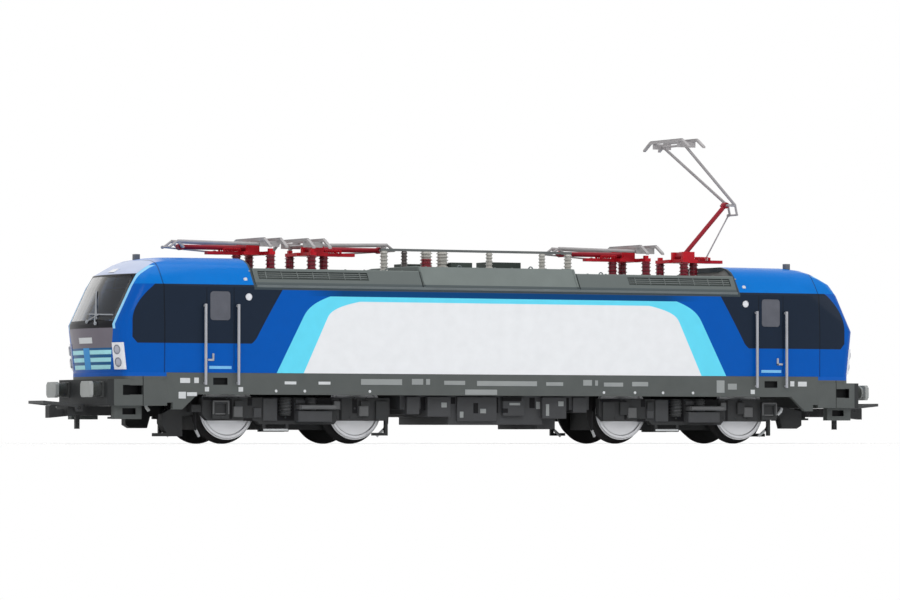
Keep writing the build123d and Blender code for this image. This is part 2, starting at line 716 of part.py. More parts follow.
# Couplers: a hook and trip pin on a swinging shank, and a loop that lifts
for tag, end in ENDS.items():
    low_z = COUPLER_Z - COUPLER_DEPTH / 2
    high_z = COUPLER_Z + COUPLER_DEPTH / 2
    hinge_x = COUPLER_REACH - LOOP_LENGTH
    hinge_z = COUPLER_Z + 0.7
    loop_y = LOOP_WIDTH / 2 - LOOP_WIRE / 2
    head_y = LOOP_WIDTH / 2 - LOOP_WIRE - SEAT_GAP
    with BuildPart() as coupler:
        add(bar((end * COUPLER_X, 0, low_z), (end * COUPLER_X, 0, high_z), 2.2, 12))
        block((end * COUPLER_X, end * (hinge_x - 1)), (-1.8, 1.8), (low_z, high_z))
        block((end * (hinge_x - 2), end * (hinge_x + 2.6)), (-head_y, head_y), (low_z, high_z + 0.4))
        block((end * (hinge_x - 1.8), end * (hinge_x - 0.8)), (-0.5, 0.5), (GUARD_Z + 1.6, COUPLER_Z))
        with BuildSketch(side_plane(facing=end)):
            add(
                outline(
                    [
                        (hinge_x, low_z),
                        (COUPLER_REACH - 3.0, low_z - 0.6),
                        (COUPLER_REACH - 3.0, high_z),
                        (COUPLER_REACH - 4.2, high_z + 0.8),
                        (COUPLER_REACH - 5.0, COUPLER_Z + 0.3),
                        (hinge_x, COUPLER_Z + 0.3),
                    ]
                )
            )
        extrude(amount=1.2, both=True)
        cross_rod(end * hinge_x, hinge_z, (-LOOP_WIDTH / 2, LOOP_WIDTH / 2), 0.4)
        upright(end * COUPLER_X, 0, (low_z - 1, high_z + 1), 0.8 + PIN_FIT, Mode.SUBTRACT)
    save(coupler.part, f"coupler_{tag}")

    with BuildPart() as loop:
        for side in SIDES:
            with BuildSketch(side_plane(0, side * loop_y, end)):
                add(
                    outline(
                        [
                            (hinge_x - 0.9, hinge_z - 0.9),
                            (hinge_x + 0.9, hinge_z - 0.9),
                            (hinge_x + 1.2, hinge_z + 0.2),
                            (COUPLER_REACH, hinge_z + 1.0),
                            (COUPLER_REACH, hinge_z + 1.0 + LOOP_WIRE),
                            (hinge_x - 0.9, hinge_z + 0.9),
                        ]
                    )
                )
            extrude(amount=LOOP_WIRE / 2, both=True)
        block(
            (end * (COUPLER_REACH - LOOP_WIRE), end * COUPLER_REACH),
            (-loop_y, loop_y),
            (hinge_z + 1.0, hinge_z + 1.0 + LOOP_WIRE),
        )
        cross_rod(end * hinge_x, hinge_z, (-LOOP_WIDTH, LOOP_WIDTH), 0.4 + PIN_FIT, Mode.SUBTRACT)
    save(loop.part, f"coupler_loop_{tag}")

# Handrails beside the cab doors
with BuildPart() as door_handrails:
    for end in ENDS.values():
        for side in SIDES:
            rail_y = side * (HALF_WIDTH + RAIL_STANDOFF)
            for rail_x in RAIL_X:
                x = end * rail_x
                add(bar((x, rail_y, RAIL_FOOT_Z), (x, rail_y, RAIL_TOP_Z), RAIL_RADIUS))
                for peg_z in (RAIL_FOOT_Z + 0.4, RAIL_TOP_Z - 0.4):
                    peg_span = (peg_z - 0.25, peg_z + 0.25)
                    block((x - 0.25, x + 0.25), (side * HALF_WIDTH, rail_y), peg_span)
save(door_handrails.part, "door_handrails")

# Posts that carry the busbar: x, foot, radius
POSTS = [
    (-HOOD_SPLIT_X - 4.2, END_HOOD_Z, 0.8),
    (-HOOD_SPLIT_X + 1.4, CENTRE_HOOD_Z, 0.65),
    (-HOOD_SPLIT_X + 7.5, CENTRE_HOOD_Z, 1.2),
    (-HOOD_SPLIT_X + 12.0, CENTRE_HOOD_Z, 1.2),
    (HOOD_SPLIT_X - 18.8, CENTRE_HOOD_Z, 0.7),
    (HOOD_SPLIT_X - 3.8, CENTRE_HOOD_Z, 0.7),
    (HOOD_SPLIT_X + 3.6, END_HOOD_Z, 0.8),
]
with BuildPart() as roof_posts:
    for x, foot_z, radius in POSTS:
        add(bar((x, ROOF_GEAR_Y, foot_z), (x, ROOF_GEAR_Y, POST_TOP_Z), radius, 12))
save(roof_posts.part, "roof_posts")

with BuildPart() as roof_busbar:
    bar_y = (ROOF_GEAR_Y - BUSBAR / 2, ROOF_GEAR_Y + BUSBAR / 2)
    block((POSTS[0][0] - 1.0, POSTS[-1][0] + 1.0), bar_y, (POST_TOP_Z, POST_TOP_Z + BUSBAR))
save(roof_busbar.part, "roof_busbar")

# Boxes on the roof: middle along X, middle across Y, length, width, foot, height
ROOF_BOXES = [
    (-5.4, ROOF_GEAR_Y + 0.6, 6.0, 4.4, CENTRE_HOOD_Z, 1.5),
    (10.2, -ROOF_GEAR_Y, 9.5, 6.0, CENTRE_HOOD_Z, 2.0),
    (-14.0, -ROOF_GEAR_Y, 8.0, 5.0, CENTRE_HOOD_Z, 1.2),
    (-NOSE_X + 16.8, 6.6, 1.4, 1.4, ROOF_Z - 1.0, 2.2),
    (NOSE_X - 16.8, -6.6, 1.4, 1.4, ROOF_Z - 1.0, 2.2),
]
with BuildPart() as roof_boxes:
    for middle_x, middle_y, length, width, foot_z, height in ROOF_BOXES:
        block(
            (middle_x - length / 2, middle_x + length / 2),
            (middle_y - width / 2, middle_y + width / 2),
            (foot_z, foot_z + height),
        )
    add(body_wall.part, mode=Mode.SUBTRACT)
save(roof_boxes.part, "roof_boxes")


# Pantographs. Each linkage is worked out in its own upright plane: u runs from the lower
# pivot towards the knee, z is height.
LEAN_RATIO = (RAISED_LEAN - FOLDED_LEAN) / (RAISED_ANGLE - FOLDED_ANGLE)


def linkage(angle):
    """Knee, head pivot, tube tip and tail of the upper arm for one angle of the lower arm."""
    rise = radians(angle)
    lean = FOLDED_LEAN + LEAN_RATIO * (angle - FOLDED_ANGLE)
    knee = (LOWER_ARM * cos(rise), PANTO_PIVOT_Z + LOWER_ARM * sin(rise))
    points = [knee]
    for length, turn in ((-UPPER_ARM, 0.0), (TIP_LENGTH, TIP_ANGLE), (TAIL_LENGTH, TAIL_ANGLE)):
        fall = radians(lean - turn)
        points.append((knee[0] + length * cos(fall), knee[1] - length * sin(fall)))
    return points


# The rod's foot stands where both ends of the tail's travel are equally far away
ROD_Z = PANTO_BEAM_Z + 0.8 * PANTO_BEAM
UP, DOWN = linkage(RAISED_ANGLE)[-1], linkage(FOLDED_ANGLE)[-1]
ROD_U = (DOWN[0] ** 2 + (DOWN[1] - ROD_Z) ** 2 - UP[0] ** 2 - (UP[1] - ROD_Z) ** 2) / (
    2 * (DOWN[0] - UP[0])
)

# number, x of the lower pivot, way the knee points, angle of the lower arm
PANTOGRAPHS = [
    (1, -PANTO_MID_X - PANTO_PIVOT, -1, FOLDED_ANGLE),
    (2, -PANTO_MID_X + PANTO_PIVOT, 1, FOLDED_ANGLE),
    (3, PANTO_MID_X - PANTO_PIVOT, -1, FOLDED_ANGLE),
    (4, PANTO_MID_X + PANTO_PIVOT, 1, RAISED_ANGLE),
]
BEAM_TOP_Z = PANTO_BEAM_Z + PANTO_BEAM
FOOT_Y = 6.0
INSULATOR_FEET = [(-3.2, -FOOT_Y), (-3.2, FOOT_Y), (3.1, 0.0)]

with BuildPart() as panto_insulators:
    for number, pivot_x, way, angle in PANTOGRAPHS:
        for u, y in INSULATOR_FEET:
            x = pivot_x + way * u
            add(bar((x, y, END_HOOD_Z), (x, y, PANTO_BEAM_Z), 1.0, 12))
save(panto_insulators.part, "panto_insulators")

for number, pivot_x, way, angle in PANTOGRAPHS:
    knee, head, tip, tail = [(pivot_x + way * u, z) for u, z in linkage(angle)]
    rod_x = pivot_x + way * ROD_U

    def span(start, stop):
        return (pivot_x + way * start, pivot_x + way * stop)

    with BuildPart() as base:
        block(span(-4.6, ROD_U + 3.4), (-0.9, 0.9), (PANTO_BEAM_Z, BEAM_TOP_Z))
        block(span(-4.0, -2.4), (-FOOT_Y - 1, FOOT_Y + 1), (PANTO_BEAM_Z, BEAM_TOP_Z))
        block(span(-2.4, 2.6), (-3.2, 3.2), (PANTO_BEAM_Z, BEAM_TOP_Z))
        block(span(ROD_U - 0.6, ROD_U + 0.6), (0.0, 1.4), (PANTO_BEAM_Z, BEAM_TOP_Z))
        for side in SIDES:
            block(span(-1.6, 1.6), (side * 2.1, side * 3.2), (PANTO_BEAM_Z, PANTO_PIVOT_Z + 1.1))
            block(span(-3.7, -2.7), (side * 5.4, side * 6.4), (PANTO_BEAM_Z, BEAM_TOP_Z + 0.7))
        block(span(-1.9, 1.9), (-2.1, 2.1), (PANTO_BEAM_Z + 0.3, BEAM_TOP_Z + 1), Mode.SUBTRACT)
        cross_rod(pivot_x, PANTO_PIVOT_Z, (-3.2, 3.2), 0.4)
        cross_rod(rod_x, ROD_Z, (0.8, ROD_Y + 0.3), 0.22)
    save(base.part, f"panto_{number}_base")

    with BuildPart() as lower:
        add(bar((pivot_x, 0, PANTO_PIVOT_Z), (knee[0], 0, knee[1]), 0.6))
        add(bar((pivot_x, -1.8, PANTO_PIVOT_Z), (pivot_x, 1.8, PANTO_PIVOT_Z), 1.2))
        add(bar((knee[0], -0.9, knee[1]), (knee[0], 0.9, knee[1]), 0.8))
        cross_rod(pivot_x, PANTO_PIVOT_Z, (-3, 3), 0.4 + PIN_FIT, Mode.SUBTRACT)
        cross_rod(*knee, (-1, 1), 0.3 + PIN_FIT, Mode.SUBTRACT)
    save(lower.part, f"panto_{number}_lower_arm")

    with BuildPart() as upper:
        for side in SIDES:
            arm_y = side * KNEE_Y
            for start, end, end_y, radius in (
                (knee, tip, arm_y, 0.35),
                (tip, head, side * SHAFT_Y, 0.4),
                (tip, tail, arm_y, 0.3),
            ):
                add(bar((start[0], arm_y, start[1]), (end[0], end_y, end[1]), radius))
        for point, radius in ((knee, 0.3), (tail, 0.25)):
            reach = KNEE_Y + radius
            add(bar((point[0], -reach, point[1]), (point[0], reach, point[1]), radius))
        cross_rod(*head, (-SHAFT_Y - 1.0, SHAFT_Y + 1.0), 0.3)
    save(upper.part, f"panto_{number}_upper_arm")

    with BuildPart() as rod:
        add(bar((rod_x, ROD_Y, ROD_Z), (tail[0], ROD_Y, tail[1]), 0.2))
        for x, z, radius in ((rod_x, ROD_Z, 0.5), (*tail, 0.4)):
            add(bar((x, ROD_Y - 0.25, z), (x, ROD_Y + 0.25, z), radius))
        cross_rod(rod_x, ROD_Z, (ROD_Y - 0.5, ROD_Y + 0.5), 0.22 + PIN_FIT, Mode.SUBTRACT)
    save(rod.part, f"panto_{number}_rod")

    # Two strips with bent horns on hangers that turn on the upper arm's cross shaft
    with BuildPart() as collector:
        head_x, strip_z = head[0], head[1] + 0.8
        for side in SIDES:
            block(
                (head_x - HEAD_LENGTH / 2, head_x + HEAD_LENGTH / 2),
                (side * (SHAFT_Y + 0.5), side * (SHAFT_Y + 0.9)),
                (head[1] - 0.6, strip_z),
            )
        for strip in (-1, 1):
            strip_x = head_x + strip * (HEAD_LENGTH - STRIP_WIDTH) / 2
            with BuildSketch(Plane.YZ.offset(strip_x)):
                add(
                    outline(
                        [
                            (8.0, strip_z),
                            (HEAD_WIDTH / 2, strip_z - 1.8),
                            (HEAD_WIDTH / 2, strip_z - 1.3),
                            (8.0, strip_z + 0.6),
                        ],
                        mirrored=True,
                    )
                )
            extrude(amount=STRIP_WIDTH / 2, both=True)
        add(bar((head_x, -7, head[1]), (head_x, 7, head[1]), 0.42), mode=Mode.SUBTRACT)
    save(collector.part, f"panto_{number}_head")
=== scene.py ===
# %% [markdown]
# # A model railway locomotive, dressed around its CAD frame
# The solids of this 1:87 electric locomotive come from CAD and stay where they are. This lesson
# adds what solids alone can't show: the livery, glass and metal finishes, and the small fittings
# that sit on the body, the roof, the bogies and the pantographs. Sizes are written in
# millimetres, as a model maker would write them, and turned into metres when a mesh is made.

import json
import math

import bmesh
import bpy
from mathutils import Matrix, Vector
from mathutils.bvhtree import BVHTree


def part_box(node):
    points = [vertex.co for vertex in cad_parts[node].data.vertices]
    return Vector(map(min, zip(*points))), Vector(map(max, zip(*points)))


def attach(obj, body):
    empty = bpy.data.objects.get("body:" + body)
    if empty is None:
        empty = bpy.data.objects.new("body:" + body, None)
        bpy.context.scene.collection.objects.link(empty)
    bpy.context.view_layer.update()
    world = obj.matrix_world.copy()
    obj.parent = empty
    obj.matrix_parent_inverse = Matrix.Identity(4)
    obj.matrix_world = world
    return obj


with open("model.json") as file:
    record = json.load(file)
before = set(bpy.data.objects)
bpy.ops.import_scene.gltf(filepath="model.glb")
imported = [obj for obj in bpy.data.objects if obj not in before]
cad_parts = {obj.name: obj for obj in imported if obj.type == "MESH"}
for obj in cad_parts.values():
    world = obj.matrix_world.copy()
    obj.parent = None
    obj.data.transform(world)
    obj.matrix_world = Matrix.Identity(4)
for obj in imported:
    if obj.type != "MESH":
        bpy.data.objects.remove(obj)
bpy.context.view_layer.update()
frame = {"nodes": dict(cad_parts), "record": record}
MM = 0.001


def box_mm(node):
    """Lowest and highest corner of a CAD node, in millimetres."""
    return [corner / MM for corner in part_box(node)]


ENDS = (-1, 1)
SIDES = (-1, 1)

# %% [markdown]
# ## Reading places from the frame
# Many CAD nodes hold several loose solids, such as eight handrails or twelve insulators. A
# detail for each of them needs its own place. Instead of copying numbers, the mesh is split
# into its connected islands, and each island's box tells where one solid stands.


# %% Islands of a node
def islands(node):
    """Boxes of a node's separate solids, in millimetres, sorted along X."""
    work = bmesh.new()
    work.from_mesh(frame["nodes"][node].data)
    bmesh.ops.remove_doubles(work, verts=work.verts, dist=1e-6)
    unseen, boxes = set(work.verts), []
    while unseen:
        queue, points = [unseen.pop()], []
        while queue:
            vert = queue.pop()
            points.append(vert.co / MM)
            fresh = {edge.other_vert(vert) for edge in vert.link_edges} & unseen
            unseen -= fresh
            queue.extend(fresh)
        low = Vector([min(p[i] for p in points) for i in range(3)])
        high = Vector([max(p[i] for p in points) for i in range(3)])
        boxes.append((low, high))
    work.free()
    return sorted(boxes, key=lambda b: tuple(round(v, 3) for v in b[0]))


# %% [markdown]
# Fittings on the curved nose and the sloping roof need the height of the skin under them. A
# ray shot at the node's mesh from outside finds it, so a wiper lies on the glass and a lens
# on its lamp, whatever curve the CAD gave them.


# %% Finding the skin
def skin(*nodes):
    """A tree of a few nodes' faces, in millimetres, for ray casting."""
    points, faces = [], []
    for node in nodes:
        data = frame["nodes"][node].data
        first = len(points)
        points += [v.co / MM for v in data.vertices]
        faces += [[first + i for i in polygon.vertices] for polygon in data.polygons]
    return BVHTree.FromPolygons(points, faces)


nose_skin = skin("body_shell", "glazing", "headlamps")
side_skin = skin("body_shell", "glazing", "side_skirts", "headstocks")
FAR = 300.0
CLOSE_BY = (0.0, 0.15, -0.15, 0.3, -0.3, 0.6)


def on_nose(end, y, z, lift=0.0):
    """The point of the nose at this place across and up, lifted off its skin.

    A thin joint can let the ray through, so heights close by are tried as well."""
    inwards = Vector((-end, 0, 0))
    for shift in CLOSE_BY:
        hit = nose_skin.ray_cast(Vector((end * FAR, y, z + shift)), inwards)[0]
        if hit and hit.x * end > 0:
            return (hit.x + end * lift, y, z)
    raise ValueError(f"no skin at {y}, {z}")


def nose_way(end, y, z):
    """The way that the nose's skin faces at this place."""
    way = nose_skin.ray_cast(Vector((end * FAR, y, z)), Vector((-end, 0, 0)))[1]
    return way if way.x * end > 0 else -way


def on_side(side, x, z, tree=None):
    """The point of the body's side, or of another skin, at this place along and up."""
    inwards = Vector((0, -side, 0))
    hit = (tree or side_skin).ray_cast(Vector((x, side * FAR, z)), inwards)[0]
    return (x, hit.y, z)


joint_rows = frame["record"]["behaviour"]["joints"]
anchors = {joint["name"]: Vector(joint["pos_m"]) / MM for joint in joint_rows}
insulator_boxes = islands("panto_insulators")
post_boxes = islands("roof_posts")
lamp_boxes = islands("headlamps")
rail_boxes = islands("door_handrails")
print("islands:", len(insulator_boxes), "insulators,", len(rail_boxes), "handrails")

# %% [markdown]
# ## Shader maths as plain expressions
# A livery is a set of edges: "above this height, ahead of that slanted line". Written as
# nodes by hand that is unreadable, so a small class wraps a socket and lets Python's own
# operators add the Math nodes. One function makes every other kind of node.


# %% Sockets that do arithmetic
class Value:
    """A node's output with the operators that the finishes use."""

    def __init__(self, tree, socket):
        self.tree, self.socket = tree, socket

    def maths(self, operation, *others, clamp=False):
        node = self.tree.nodes.new("ShaderNodeMath")
        node.operation, node.use_clamp = operation, clamp
        for slot, value in zip(node.inputs, (self, *others)):
            plug(self.tree, slot, value)
        return Value(self.tree, node.outputs[0])

    def __add__(self, other):
        return self.maths("ADD", other)

    def __sub__(self, other):
        return self.maths("SUBTRACT", other)

    def __rsub__(self, other):
        return (self * -1.0).maths("ADD", other)

    def __mul__(self, other):
        return self.maths("MULTIPLY", other)

    def __truediv__(self, other):
        return self.maths("DIVIDE", other)

    def __abs__(self):
        return self.maths("ABSOLUTE")

    def above(self, level, soft=0.1):
        """1 where the value is over the level, with an edge as soft as a paint line."""
        return ((self - level) / soft).maths("ADD", 0.5, clamp=True)

    def below(self, level, soft=0.1):
        return 1.0 - self.above(level, soft)

    def within(self, low, high, soft=0.1):
        return self.above(low, soft) * self.below(high, soft)

    def over(self, level):
        """How far the value is over the level, never negative."""
        return (self - level).maths("MAXIMUM", 0.0)

    def under(self, level):
        """How far the value is under the level, never negative."""
        return (level - self).maths("MAXIMUM", 0.0)

    def line(self, middle, half, soft=0.08):
        """1 within half a line's width of its middle."""
        return abs(self - middle).below(half, soft)

    __radd__ = __add__


def plug(tree, slot, value):
    """Links a value to a node's input, or sets the input to a number or colour."""
    if isinstance(value, Value):
        tree.links.new(value.socket, slot)
    else:
        slot.default_value = value


def add_node(tree, kind, settings=None, inputs=None, out=0):
    """Any node: its type, its settings, then the values or links of its inputs."""
    node = tree.nodes.new(kind)
    for name, value in (settings or {}).items():
        setattr(node, name, value)
    for name, value in (inputs or {}).items():
        plug(tree, node.inputs[name], value)
    return Value(tree, node.outputs[out])


def srgb(red, green, blue):
    """A colour as a paint chart gives it, 0 to 255, in the linear form that shaders use."""
    chart = [c / 255 for c in (red, green, blue)]
    linear = [c / 12.92 if c < 0.04045 else ((c + 0.055) / 1.055) ** 2.4 for c in chart]
    return (*linear, 1.0)


# %% A finish
class Finish:
    """A material with a Principled shader and the nodes that vary it."""

    def __init__(self, name, **constants):
        self.material = bpy.data.materials.new(name)
        self.material.use_nodes = True
        self.tree = self.material.node_tree
        self.shader = self.tree.nodes["Principled BSDF"]
        self.feed(**constants)
        place = self.node("ShaderNodeTexCoord", out="Object")
        self.place = self.vector("SCALE", {0: place, "Scale": 1 / MM})
        self.x, self.y, self.z = [
            self.node("ShaderNodeSeparateXYZ", {}, {0: self.place}, out=axis) for axis in "XYZ"
        ]

    def node(self, kind, settings=None, inputs=None, out=0):
        return add_node(self.tree, kind, settings, inputs, out)

    def vector(self, operation, inputs, out=0):
        return self.node("ShaderNodeVectorMath", {"operation": operation}, inputs, out)

    def noise(self, scale, detail=3.0):
        """Even noise from 0 to 1; scale is in patches per millimetre."""
        inputs = {"Vector": self.place, "Scale": scale, "Detail": detail}
        return self.node("ShaderNodeTexNoise", {}, inputs)

    def mix(self, mask, under, over):
        inputs = {0: mask, 6: under, 7: over}
        return self.node("ShaderNodeMix", {"data_type": "RGBA"}, inputs, out=2)

    def feed(self, **values):
        """Sets or links the shader's inputs; coat_weight is its "Coat Weight"."""
        for word, value in values.items():
            name = word.replace("_", " ").title().replace("Ior", "IOR")
            plug(self.tree, self.shader.inputs[name], value)

    def layer(self, mask, colour):
        """Paints a colour over the finish where the mask is 1."""
        self.tone = self.mix(mask, self.tone, colour)
        self.feed(base_color=self.tone)

    def bump(self, height, strength, depth_mm):
        inputs = {"Height": height, "Strength": strength, "Distance": depth_mm * MM}
        self.feed(normal=self.node("ShaderNodeBump", {}, inputs))


FINISHES = {}
print("shader tools ready")

# %% [markdown]
# ## The livery
# The body is one moulding, painted: blue cabs with a navy window band, a long white panel
# edged in light blue, and a striped front under the windscreen. All edges are drawn in the
# shell's own coordinates, measured along |X| and Z, so both ends and both sides agree.

# %% Livery colours and edges
BLUE = srgb(2, 88, 182)
LIT_ROOF_BLUE = srgb(3, 116, 206)
TOP_BLUE = srgb(8, 68, 124)
NAVY = srgb(30, 41, 57)
WHITE = srgb(240, 242, 245)
LIGHT_BLUE = srgb(106, 224, 252)
CORNER_HIGHLIGHT = srgb(150, 214, 250)
GUTTER_GREY = srgb(66, 76, 82)
FRONT_HIGHLIGHT = srgb(196, 206, 232)
FRONT_BLACK = srgb(22, 22, 27)
PANEL_GREY = srgb(116, 111, 120)
STRIPE_PALE = srgb(170, 232, 240)
STRIPE_BLUE = srgb(36, 92, 140)
COLUMN_BLUE = srgb(56, 148, 216)
DARK = srgb(14, 16, 18)

BAND_FOOT_Z, BAND_TOP_Z = 24.0, 38.1
WHITE_TOP_Z, EDGE_TOP_Z, BLUE_TOP_Z = 34.4, 35.6, 37.0
PANEL_FOOT_Z = 17.8
WHITE_SLOPE, EDGE_SLOPE = 0.48, 0.53
WHITE_END_X, EDGE_END_X, BAND_END_X = 55.3, 62.5, 69.0
PANEL_SLIDE = 0.9
BEND_Z, WHITE_BEND, EDGE_BEND = 30.0, 0.08, 0.026
BAND_LEAN, BAND_CURVE = 0.55, 0.003
CORNER_RISE, CORNER_BEND = 1.5, 0.27
BAND_FRONT_X, BAND_FRONT_Z, BAND_FRONT_BEND = 99.6, 29.0, 0.072
BAND_TOE_Z, BAND_TOE = 25.4, 0.9
TOP_BLUE_END_X, TOP_BLUE_FADE = 50.0, 10.0
CAB_BACK_X, SCREEN_BACK_X = 68.0, 88.0
NOSE_X, NOSE_FADE = 90.5, 4.0
CORNER_HIGHLIGHT_NEAR, CORNER_HIGHLIGHT_FAR = 0.02, 0.9
CORNER_HIGHLIGHT_Z = (27.4, 42.6)
DOOR_HALF, DOOR_Z = 3.6, (17.6, 37.4)
FRONT_FOOT_Z, FRONT_TAPER_Z, FRONT_ROOF_Z = 17.7, 27.0, 40.5
STRIPES_TOP_Z, FRONT_HIGHLIGHT_Z, COLUMN_HALF = 22.9, 40.6, 1.7
CAB_SEAM_X = 91.6
DOOR_X = 77.0
WAIST_Z = 27.6
FRONT_HALF = 12.6
STRIPE_Z = (18.3, 20.05, 21.85)
STRIPE_HALF = 0.5
print("stripes on the front:", len(STRIPE_Z))


# %% Painting the body
def front_edge(z):
    """Half width of the painted front: narrower towards the sill and over the roof."""
    return FRONT_HALF - z.under(FRONT_TAPER_Z) * 0.25 - z.over(FRONT_ROOF_Z) * 0.5


def body_paint():
    """The moulded body's paint, from the sill to the roof and round the nose."""
    paint = Finish(
        "body_livery", specular_ior_level=0.05, coat_weight=0.06, coat_roughness=0.06
    )
    x, y, z = abs(paint.x), abs(paint.y), paint.z
    along = abs(paint.x + paint.y.maths("SIGN") * PANEL_SLIDE)
    height = z - PANEL_FOOT_Z
    bend = z.over(BEND_Z).maths("POWER", 3.0)
    white_end = WHITE_END_X - height * WHITE_SLOPE - bend * WHITE_BEND
    edge_end = EDGE_END_X - height * EDGE_SLOPE - bend * EDGE_BEND
    rise = z - BAND_FOOT_Z
    corner = rise.under(CORNER_RISE)
    band_rear = BAND_END_X - rise * BAND_LEAN - rise * rise * BAND_CURVE
    band_rear = band_rear + corner * corner * CORNER_BEND
    lift = z.over(BAND_FRONT_Z)
    band_front = BAND_FRONT_X - lift * lift * BAND_FRONT_BEND - z.under(BAND_TOE_Z) * BAND_TOE

    paint.tone = BLUE
    # The roof's blue is lighter than the sides', partly as painted light from the lamps above.
    paint.layer(z.above(BAND_TOP_Z), LIT_ROOF_BLUE)
    fade = along.below(TOP_BLUE_END_X, TOP_BLUE_FADE)
    paint.layer(z.within(EDGE_TOP_Z, BLUE_TOP_Z) * fade, TOP_BLUE)
    band = (along - band_rear).above(0.0) * (band_front - x).above(0.0)
    paint.layer(z.within(BAND_FOOT_Z, BAND_TOP_Z) * band, NAVY)
    paint.layer(z.below(EDGE_TOP_Z) * (edge_end - along).above(0.0), LIGHT_BLUE)
    paint.layer(z.below(WHITE_TOP_Z) * (white_end - along).above(0.0), WHITE)
    paint.layer(z.above(BLUE_TOP_Z) * x.below(CAB_BACK_X), GUTTER_GREY)
    # A thin pale line beside the front, up the rounded corner, is a painted highlight where the
    # corner catches the light.
    beside = (y - front_edge(z)).within(CORNER_HIGHLIGHT_NEAR, CORNER_HIGHLIGHT_FAR)
    paint.layer(z.within(*CORNER_HIGHLIGHT_Z) * beside * x.above(SCREEN_BACK_X), CORNER_HIGHLIGHT)
    front = (front_edge(z) - y).above(0.0) * x.above(NOSE_X, NOSE_FADE)
    paint.layer(front * z.above(FRONT_FOOT_Z), paint_front(paint, y, z))

    leaf = abs(x - DOOR_X).line(DOOR_HALF, 0.1) * z.within(*DOOR_Z)
    lines = x.line(CAB_SEAM_X, 0.14).maths("MAXIMUM", leaf)
    haze = paint.noise(0.35, 4.0)
    paint.layer(lines * 0.6, DARK)
    paint.layer(haze * 0.1, DARK)
    paint.feed(roughness=0.26 + haze * 0.1)
    paint.bump(1.0 - lines, 0.5, 0.1)
    return paint.material


# %% The front below and above the windscreen
def paint_front(paint, y, z):
    """Grey waist, black round the glass, a painted highlight over it, striped below with a blue
    column.
    """
    look = paint.mix(z.above(WAIST_Z), PANEL_GREY, FRONT_BLACK)
    # Over the windscreen the pale lavender is a painted highlight of the light from above.
    look = paint.mix(z.above(FRONT_HIGHLIGHT_Z), look, FRONT_HIGHLIGHT)
    look = paint.mix(z.below(STRIPES_TOP_Z), look, STRIPE_BLUE)
    bars = 0.0
    for middle in STRIPE_Z:
        bars = z.line(middle, STRIPE_HALF, 0.12) + bars
    look = paint.mix(bars * y.above(COLUMN_HALF + 0.1), look, STRIPE_PALE)
    return paint.mix(z.below(STRIPES_TOP_Z) * y.below(COLUMN_HALF), look, COLUMN_BLUE)


FINISHES["body_paint"] = body_paint()
print("livery:", len(FINISHES["body_paint"].node_tree.nodes), "nodes")

# %% [markdown]
# ## Plastics, metals and glass
# The rest of the model is a handful of finishes: satin grey and matt black plastic, turned
# and painted metal, glossy insulators and tinted glazing. Each varies a little over the
# surface, with faint noise in colour and roughness, so that none looks like a flat fill.


# %% Moulded plastic and painted metal
def satin(name, colour, roughness, grain=0.25, shade=0.2, metallic=0.0, coat=0.0):
    """A moulded or sprayed finish: cloudy colour and a fine grain."""
    finish = Finish(name, metallic=metallic, coat_weight=coat, specular_ior_level=0.14)
    cloud = finish.noise(0.22, 4.0)
    dark = tuple(c * (1 - shade) for c in colour[:3]) + (1.0,)
    light = tuple(min(1.0, c * (1 + shade)) for c in colour[:3]) + (1.0,)
    finish.tone = finish.mix(cloud, dark, light)
    finish.feed(base_color=finish.tone, roughness=roughness - 0.06 + cloud * 0.12)
    finish.bump(finish.noise(5.0, 2.0), grain, 0.03)
    return finish


def roof_hoods():
    """Grey roof hoods; the vent panels let into the slanted sides of the end hoods are darker,
    as painted shade of their recess.
    """
    finish = satin("roof_hood_grey", srgb(116, 124, 122), 0.5, shade=0.1)
    x, z = abs(finish.x), finish.z
    finish.layer(x.above(21.6) * z.within(38.8, 42.0), srgb(100, 107, 106))
    # The vent panels' dark grey is painted shade in the recess behind the slats.
    finish.layer(x.within(36.5, 66.1) * z.within(39.6, 41.5), srgb(66, 72, 71))
    finish.layer(z.below(38.8), srgb(80, 88, 90))
    return finish


def underframe():
    """Grey skirts and headstocks: blue under the nose, painted shade in the steps and openings.
    """
    finish = satin("underframe_grey", srgb(88, 92, 91), 0.5, shade=0.14)
    x, y, z = abs(finish.x), abs(finish.y), finish.z
    step_shade = abs(x - DOOR_X).below(1.9) * z.within(14.1, 15.8)
    side_opening_shade = x.within(96.9, 101.6) * z.within(11.6, 14.0) * y.below(15.8)
    apron_opening_shade = x.within(97.4, 101.1) * z.within(6.9, 8.6) * y.below(13.3)
    # Dark paint in the step and the two openings is painted shade in their recesses; the line at
    # 96.9 is a dark joint.
    for mask in (step_shade, side_opening_shade, apron_opening_shade, x.line(96.9, 0.1) * z.above(9.1)):
        finish.layer(mask, DARK)
    finish.layer(x.above(103.6) * z.below(15.4), srgb(48, 50, 51))
    finish.layer(x.above(91.1) * z.above(16.1), BLUE)
    return finish


def wheels():
    """Dark wheels with bright turned faces; the dark on the backs is partly painted shade of the
    inner faces.
    """
    # The dark base covers the backs, darkened partly as painted shade of the inner faces.
    finish = satin("turned_wheel", srgb(46, 45, 46), 0.45, shade=0.15)
    face = abs(finish.y).above(9.9, 0.05)
    finish.layer(face, srgb(212, 213, 216))
    finish.feed(metallic=face * 0.75)
    return finish


def buffer_heads():
    """Pale buffer heads on dark barrels."""
    finish = satin("buffer_grey", srgb(154, 157, 156), 0.42)
    finish.layer(abs(finish.x).below(107.7), srgb(62, 65, 63))
    return finish


